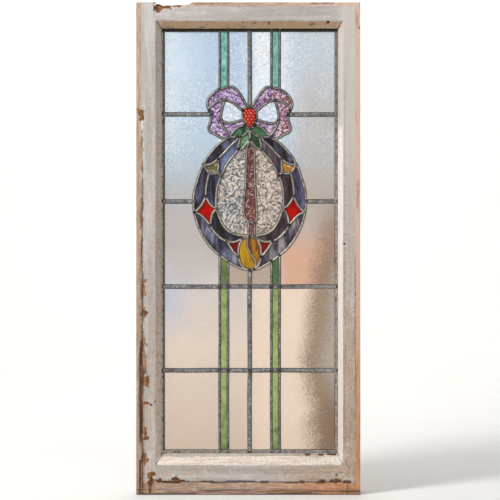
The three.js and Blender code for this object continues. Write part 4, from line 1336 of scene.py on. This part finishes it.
def growBerry(piece):
    # moulded jewel: an egg dome of round drupelets in rows
    remesh(piece, berry["voxel"])
    points = readPoints(piece)
    normals = readNormals(piece)
    x = points[:, 0] - sash["middle"]
    z = points[:, 2] - figureMiddle
    rowGap = berry["rowGap"]
    beadGap = berry["beadGap"]
    up = z - berry["firstRow"]
    row = np.round(up / rowGap)
    best = np.full(len(points), 99.0)
    for step in (-1, 0, 1):
        level = row + step
        start = np.where(np.mod(level, 2) == 0, 0, beadGap / 2)
        across = np.round((x - start) / beadGap) * beadGap + start
        best = np.minimum(best, np.hypot(x - across, up - level * rowGap))
    drupelet = np.sqrt(np.clip(1 - (best / berry["beadRadius"]) ** 2, 0, 1))
    half = np.interp(z, berry["levels"], berry["halfWidths"])
    dome = np.sqrt(np.clip(1 - (x / half) ** 2, 0, 1)) * smooth(131, 141, z) * smooth(171, 163, z)
    face = smooth(0.5, 0.9, -normals[:, 1])
    points[:, 1] -= face * (berry["domeDepth"] * dome + berry["beadDepth"] * drupelet * smooth(0, 0.5, dome))
    writePoints(piece, points)
    # the berry glass is painted bright on each drupelet's top and dark in the gaps: painted highlight and
    # shade
    writeColours(piece, "relief", [drupelet**2, drupelet, 0 * x, 1 + 0 * x])


smallGlass = {"inset": 1.1, "voxel": 0.9}


def smallPiece(name, outline):
    # a cut piece of glass from the middle lines of the leads round it
    spots = placed(outline)
    bpy.ops.mesh.primitive_circle_add(vertices=len(spots), radius=1, fill_type="NGON", location=(0, 0, 0))
    piece = bpy.context.view_layer.objects.active
    piece.name = name
    writePoints(piece, np.column_stack([spots[:, 0], np.full(len(spots), sash["glassFront"]), spots[:, 1]]))
    activate(piece)
    startEditing()
    bpy.ops.mesh.inset(thickness=smallGlass["inset"] * mm)
    bpy.ops.mesh.select_all(action="INVERT")
    bpy.ops.mesh.delete(type="FACE")
    bpy.ops.mesh.select_all(action="SELECT")
    depth = (sash["glassBack"] - sash["glassFront"]) * mm
    bpy.ops.mesh.extrude_region_move(TRANSFORM_OT_translate={"value": (0, depth, 0)})
    bpy.ops.mesh.select_all(action="SELECT")
    bpy.ops.mesh.normals_make_consistent(inside=False)
    bpy.ops.object.mode_set(mode="OBJECT")
    return piece


def dense(points):
    # a drawn line with points between, so that an outline keeps its curve
    line = smoothLine(points, 2.0)
    return [(x - sash["middle"], z - figureMiddle) for x, z in line]


def smallOutlines():
    drawn = {name: dense(points) for name, points in figureLines.items()}
    berrySide = [(u, w) for u, w in dense(berryLine) if w < 139 and u > 1]
    petalSide = [(u, w) for u, w in drawn["footPetal"] if -89 < w < -62]
    middleStart = [(u, w) for u, w in drawn["leafMiddle"] if u < 16.4]
    leafUpper = drawn["leafTop"] + drawn["leafMiddle"][::-1] + berrySide
    leafLower = drawn["leafStem"] + middleStart + drawn["leafOuter"] + drawn["leafFoot"][:-1]
    flower = drawn["flowerTop"] + drawn["flowerInner"][1:] + drawn["flowerFoot"][::-1][1:-1]
    wedge = drawn["wedgeTop"] + petalSide + drawn["wedgeOuter"][::-1][:-1]
    return {"leaf_upper": leafUpper, "leaf_lower": leafLower, "side_flower": flower, "wedge": wedge}


def glassLooks():
    bowStops = [
        (0.12, 52, 28, 62), (0.32, 122, 86, 142), (0.52, 178, 142, 196), (0.7, 222, 206, 242),
        (0.82, 255, 253, 255),
    ]
    bowWarm = [
        (0.12, 74, 32, 36), (0.32, 148, 88, 80), (0.52, 186, 132, 142), (0.7, 222, 194, 216),
        (0.82, 255, 248, 255),
    ]
    ovalStops = [
        (0.12, 58, 70, 86), (0.3, 112, 120, 132), (0.5, 170, 168, 169), (0.7, 226, 222, 220),
        (0.86, 255, 255, 255),
    ]
    ovalWarm = [
        (0.12, 84, 72, 72), (0.3, 142, 128, 120), (0.5, 194, 174, 160), (0.7, 232, 218, 206),
        (0.86, 255, 252, 248),
    ]
    return {
        "lilac": reliefGlass("lilac_hammered_glass", bowStops, second=bowWarm, transmission=0.5, lean=0.5),
        "loop": reliefGlass("clear_hammered_glass", [
            (0.0, 178, 192, 214), (0.5, 208, 218, 236), (0.9, 244, 250, 255),
        ], transmission=0.9, roughness=0.25, grain=0.1),
        "oval": reliefGlass(
            "oval_hammered_glass", ovalStops, second=ovalWarm, transmission=0.55, lean=-0.25, grain=0.12,
        ),
        "ribbon": reliefGlass("ribbon_glass", [
            (0.1, 58, 22, 20), (0.4, 112, 58, 50), (0.65, 156, 102, 94), (0.9, 226, 196, 196),
        ], transmission=0.35),
        "berry": reliefGlass("berry_glass", [
            (0.05, 44, 4, 4), (0.35, 150, 18, 8), (0.6, 218, 44, 20), (0.95, 250, 96, 60),
        ], transmission=0.3, roughness=0.1, grain=0.03),
        "red": reliefGlass("red_glass", [
            (0.0, 150, 10, 0), (0.5, 192, 18, 0), (1.0, 220, 44, 0),
        ], transmission=0.3, grain=0.1, specular=0.05),
        "redDark": reliefGlass("dark_red_glass", [
            (0.0, 96, 2, 2), (0.5, 134, 4, 2), (1.0, 160, 10, 6),
        ], transmission=0.6, grain=0.1, specular=0.05),
        "leaf": reliefGlass("leaf_glass", [
            (0.1, 20, 48, 28), (0.45, 44, 92, 56), (0.8, 92, 146, 104),
        ], transmission=0.5, grain=0.3, specular=0.3),
        "leafPale": reliefGlass("pale_leaf_glass", [
            (0.1, 48, 88, 54), (0.5, 86, 134, 88), (0.9, 140, 180, 138),
        ], transmission=0.5, grain=0.26, specular=0.3),
        "yellow": streakyGlass("yellow_glass", [
            (0.2, 104, 78, 10), (0.42, 176, 130, 4), (0.6, 212, 166, 6), (0.8, 232, 196, 60),
        ], 0.5, scale=60, transmission=0.6),
        "amber": streakyGlass("amber_glass", [
            (0.25, 58, 30, 12), (0.45, 128, 70, 14), (0.6, 188, 126, 14), (0.8, 222, 176, 110),
        ], -0.4, scale=70, transmission=0.55),
        "olive": reliefGlass("olive_glass", [
            (0.1, 92, 84, 50), (0.5, 146, 136, 92), (0.9, 206, 200, 166),
        ], transmission=0.55, grain=0.3, specular=0.3),
        "gold": reliefGlass("gold_glass", [
            (0.1, 150, 92, 22), (0.5, 212, 158, 62), (0.9, 250, 224, 170),
        ], transmission=0.6, grain=0.3, specular=0.3),
        "slateDark": streakyGlass("slate_dark_glass", [
            (0.25, 20, 12, 16), (0.48, 42, 32, 40), (0.62, 66, 62, 86), (0.8, 112, 114, 148),
        ], 0.5, scale=40, contrast=1.35),
        "slateBlue": streakyGlass("slate_blue_glass", [
            (0.25, 34, 32, 46), (0.48, 66, 70, 92), (0.66, 106, 120, 160), (0.84, 146, 158, 194),
        ], 0.6, scale=46, swirl=(-40, 590, 30, 0.08), contrast=1.3),
        "slatePlum": streakyGlass("slate_plum_glass", [
            (0.25, 34, 20, 22), (0.48, 66, 46, 50), (0.66, 98, 82, 94), (0.84, 138, 126, 146),
        ], -0.5, scale=46, contrast=1.2),
        "slatePale": streakyGlass("slate_pale_glass", [
            (0.2, 26, 22, 34), (0.45, 62, 58, 74), (0.64, 118, 108, 118), (0.9, 196, 182, 184),
        ], -0.95, scale=48, swirl=(46, 428, 34, 0.2), contrast=1.5),
        "slateStreaked": streakyGlass("slate_streaked_glass", [
            (0.25, 30, 26, 38), (0.48, 56, 54, 72), (0.66, 104, 104, 130), (0.9, 184, 182, 198),
        ], 0.9, scale=46, swirl=(-34, 414, 24, 0.26), contrast=1.4),
        "slateViolet": streakyGlass("slate_violet_glass", [
            (0.25, 30, 20, 28), (0.46, 58, 50, 68), (0.64, 98, 100, 136), (0.86, 148, 150, 188),
        ], -0.45, scale=48, swirl=(86, 540, 42, 0.06), contrast=1.3),
    }


def buildGlass():
    materials = glassLooks()
    pieces = {
        "bow_arch": ("bow", "lilac", "lilac", "lilac_glass"),
        "bow_column": ("bow", "lilac", "lilac", "lilac_glass"),
        "bow_tail": ("bow", "lilac", "lilac", "lilac_glass"),
        "bow_loop": ("loop", "loop", "loop", "hammered_clear_glass"),
        "oval_half": ("oval", "oval", "oval", "hammered_clear_glass"),
        "wreath_top_outer": ("slate", "slateDark", "slateDark", "slate_glass"),
        "wreath_top_inner": ("slate", "slateBlue", "slatePlum", "slate_glass"),
        "wreath_side_outer": ("slate", "slateDark", "slateViolet", "slate_glass"),
        "wreath_side_inner": ("slate", "slateBlue", "slatePlum", "slate_glass"),
        "wreath_foot_outer": ("slate", "slateStreaked", "slatePale", "slate_glass"),
        "wreath_foot_inner": ("slate", "slateDark", "slatePlum", "slate_glass"),
        "wreath_diamond": ("plain", "red", "red", "red_glass"),
    }
    seed = 100
    for name, (kind, leftLook, rightLook, slot) in pieces.items():
        for side, look in (("left", leftLook), ("right", rightLook)):
            seed += 10
            piece = copyOf(f"{name}_{side}", f"{name}_{side}_glass")
            hammer(piece, kind, seed)
            finishPiece(piece, materials[look], [f"{name}_{side}"])
    singles = {
        "ribbon": ("ribbon", "ribbon", "ribbon_glass"),
        "foot_petal_left": ("plain", "yellow", "amber_glass"),
        "foot_petal_right": ("plain", "amber", "amber_glass"),
    }
    for name, (kind, look, slot) in singles.items():
        seed += 10
        piece = copyOf(name, f"{name}_piece")
        hammer(piece, kind, seed)
        finishPiece(piece, materials[look], [name])
    jewel = copyOf("berry", "berry_jewel")
    growBerry(jewel)
    finishPiece(jewel, materials["berry"], ["berry"])
    looks = {
        "leaf_upper": ("leaf", "leaf", "green_glass"),
        "leaf_lower": ("leafPale", "leaf", "green_glass"),
        "side_flower": ("olive", "gold", "amber_glass"),
        "wedge": ("redDark", "redDark", "red_glass"),
    }
    for name, outline in smallOutlines().items():
        for side, look in zip(("right", "left"), (looks[name][1], looks[name][0])):
            seed += 10
            piece = smallPiece(f"{name}_{side}_glass", outline if side == "right" else mirrored(outline))
            hammer(piece, "plain", seed)
            finishPiece(piece, materials[look])
    endOutline = [(-2.1, -31.6), (8.2, -33.6), (8.7, -45), (8.6, -55.8), (-2.4, -56.2), (-2.3, -44)]
    ribbonEnd = smallPiece("ribbon_end_glass", endOutline)
    hammer(ribbonEnd, "ribbon", seed + 10)
    finishPiece(ribbonEnd, materials["ribbon"])
    clear = backgroundGlass()
    teal = stripGlass("teal_glass", srgb(62, 126, 120), srgb(118, 180, 174), srgb(168, 224, 220), 170)
    green = stripGlass("green_glass", srgb(86, 112, 62), srgb(154, 172, 106), srgb(178, 196, 126), 60)
    for name, node in nodes.items():
        look = clear if name.startswith("pane_") else teal if name.startswith("strip_row_1") else green
        if name.startswith(("pane_", "strip_")):
            node.data.materials.clear()
            node.data.materials.append(look)
    print("glass done")


# Putty: knifed in behind the panel

putty = {"voxel": 1.9, "unevenness": 0.9, "shrink": 0.1}


def buildPutty():
    material, tree, shader = newMaterial("old_putty")
    coords = objectCoords(tree)
    crumbs = noiseValue(tree, coords, 240, detail=5, roughness=0.65)
    colour = ramp(tree, crumbs, [
        (0.3, srgb(120, 110, 96)), (0.55, srgb(168, 160, 146)), (0.75, srgb(196, 190, 178)),
    ])
    dirt = patches(tree, coords, 70, 0.45)
    colour = blended(tree, times(tree, dirt, 0.5), colour, srgb(92, 80, 66))
    setShader(tree, shader, {"Base Color": colour, "Roughness": 0.85})
    addBump(tree, shader, crumbs, 0.6, 0.6)
    piece = copyOf("putty", "putty_run")
    remesh(piece, putty["voxel"])
    points = readPoints(piece)
    normals = readNormals(piece)
    lumps = roughNoise(points, (14, 8, 14), 201) - 0.55
    knifed = smooth(0.2, 0.5, normals[:, 1])
    shift = putty["unevenness"] * lumps * knifed - putty["shrink"]
    writePoints(piece, points + normals * shift[:, None])
    finishPiece(piece, material, ["putty"])
    print("putty done")


# Studio: a pale floor that curves up into a round wall, so that every view is clear

studio = {
    "floorRadius": 3.1,
    "curve": 0.9,
    "curveSteps": 12,
    "wallTop": 2.6,
    "segments": 96,
    "skyColour": (0.965, 0.98, 1.0, 1),
    "skyStrength": 0.4,
    "keyPlace": (-1.35, -0.95, 1.95),
    "keyPower": 38,
    "backPlace": (0.0, 1.2, 2.5),
    "backPower": 34,
    "lens": 90.5,
    "cameraX": 0.003,
    "cameraAway": 2.2,
    "cameraHeight": 0.42875,
}


def buildStudio():
    curve = studio["curve"]
    level = studio["floorRadius"] - curve
    profile = [(0.0, 0.0), (level, 0.0)]
    for step in range(1, studio["curveSteps"] + 1):
        turn = math.radians(90 * step / studio["curveSteps"])
        profile.append((level + curve * math.sin(turn), curve * (1 - math.cos(turn))))
    profile.append((studio["floorRadius"], studio["wallTop"]))
    mesh = bpy.data.meshes.new("studio_floor")
    mesh.from_pydata([(x, 0, z) for x, z in profile], [(i, i + 1) for i in range(len(profile) - 1)], [])
    floor = bpy.data.objects.new("studio_floor", mesh)
    bpy.context.scene.collection.objects.link(floor)
    activate(floor)
    startEditing()
    bpy.ops.mesh.spin(steps=studio["segments"], angle=2 * math.pi, center=(0, 0, 0), axis=(0, 0, 1))
    bpy.ops.mesh.select_all(action="SELECT")
    bpy.ops.mesh.remove_doubles(threshold=0.0005)
    bpy.ops.mesh.normals_make_consistent(inside=True)
    bpy.ops.object.mode_set(mode="OBJECT")
    bpy.ops.object.shade_smooth()
    material, tree, shader = newMaterial("studio_paper")
    coords = objectCoords(tree)
    tone = noiseValue(tree, coords, 3, detail=2)
    colour = blended(tree, tone, srgb(240, 239, 236), srgb(246, 245, 243))
    setShader(tree, shader, {"Base Color": colour, "Roughness": 0.9})
    floor.data.materials.append(material)
    floor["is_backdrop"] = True


def addLamp(name, place, aim, size, power, colour):
    lamp = bpy.data.lights.new(name, "AREA")
    lamp.shape = "DISK"
    lamp.size = size
    lamp.energy = power
    lamp.color = colour
    holder = bpy.data.objects.new(name, lamp)
    bpy.context.scene.collection.objects.link(holder)
    holder.location = place
    away = [a - b for a, b in zip(place, aim)]
    reach = math.sqrt(sum(part * part for part in away))
    holder.rotation_euler = (math.acos(away[2] / reach), 0, math.atan2(away[0], -away[1]))
    holder.visible_camera = False


def buildLight():
    world = bpy.data.worlds.new("soft_daylight")
    bpy.context.scene.world = world
    world.use_nodes = True
    sky = world.node_tree.nodes["Background"].inputs
    sky[0].default_value = studio["skyColour"]
    sky[1].default_value = studio["skyStrength"]
    addLamp("key_light", studio["keyPlace"], (0, 0, 0.45), 0.55, studio["keyPower"], (1.0, 0.993, 0.98))
    addLamp("back_light", studio["backPlace"], (0, 3.1, 0.9), 1.2, studio["backPower"], (1.0, 0.99, 0.97))


def buildCamera():
    # level, square to the sash, far enough back to keep its sides in
    camera = bpy.data.cameras.new("camera")
    camera.sensor_width = 36
    camera.lens = studio["lens"]
    holder = bpy.data.objects.new("camera", camera)
    bpy.context.scene.collection.objects.link(holder)
    holder.location = (studio["cameraX"], cadLow.y - studio["cameraAway"], studio["cameraHeight"])
    holder.rotation_euler = (math.radians(90), 0, 0)
    bpy.context.scene.camera = holder


buildCamera()
buildStudio()
buildLight()
bpy.context.scene.view_settings.view_transform = "Standard"
buildTimber()
buildLeads()
buildGlass()
buildPutty()

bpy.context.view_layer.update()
counts = {p.name: len(p.data.loop_triangles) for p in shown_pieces() if p.type == "MESH"}
print("triangles", sum(counts.values()), "most on one piece", max(counts.values()))
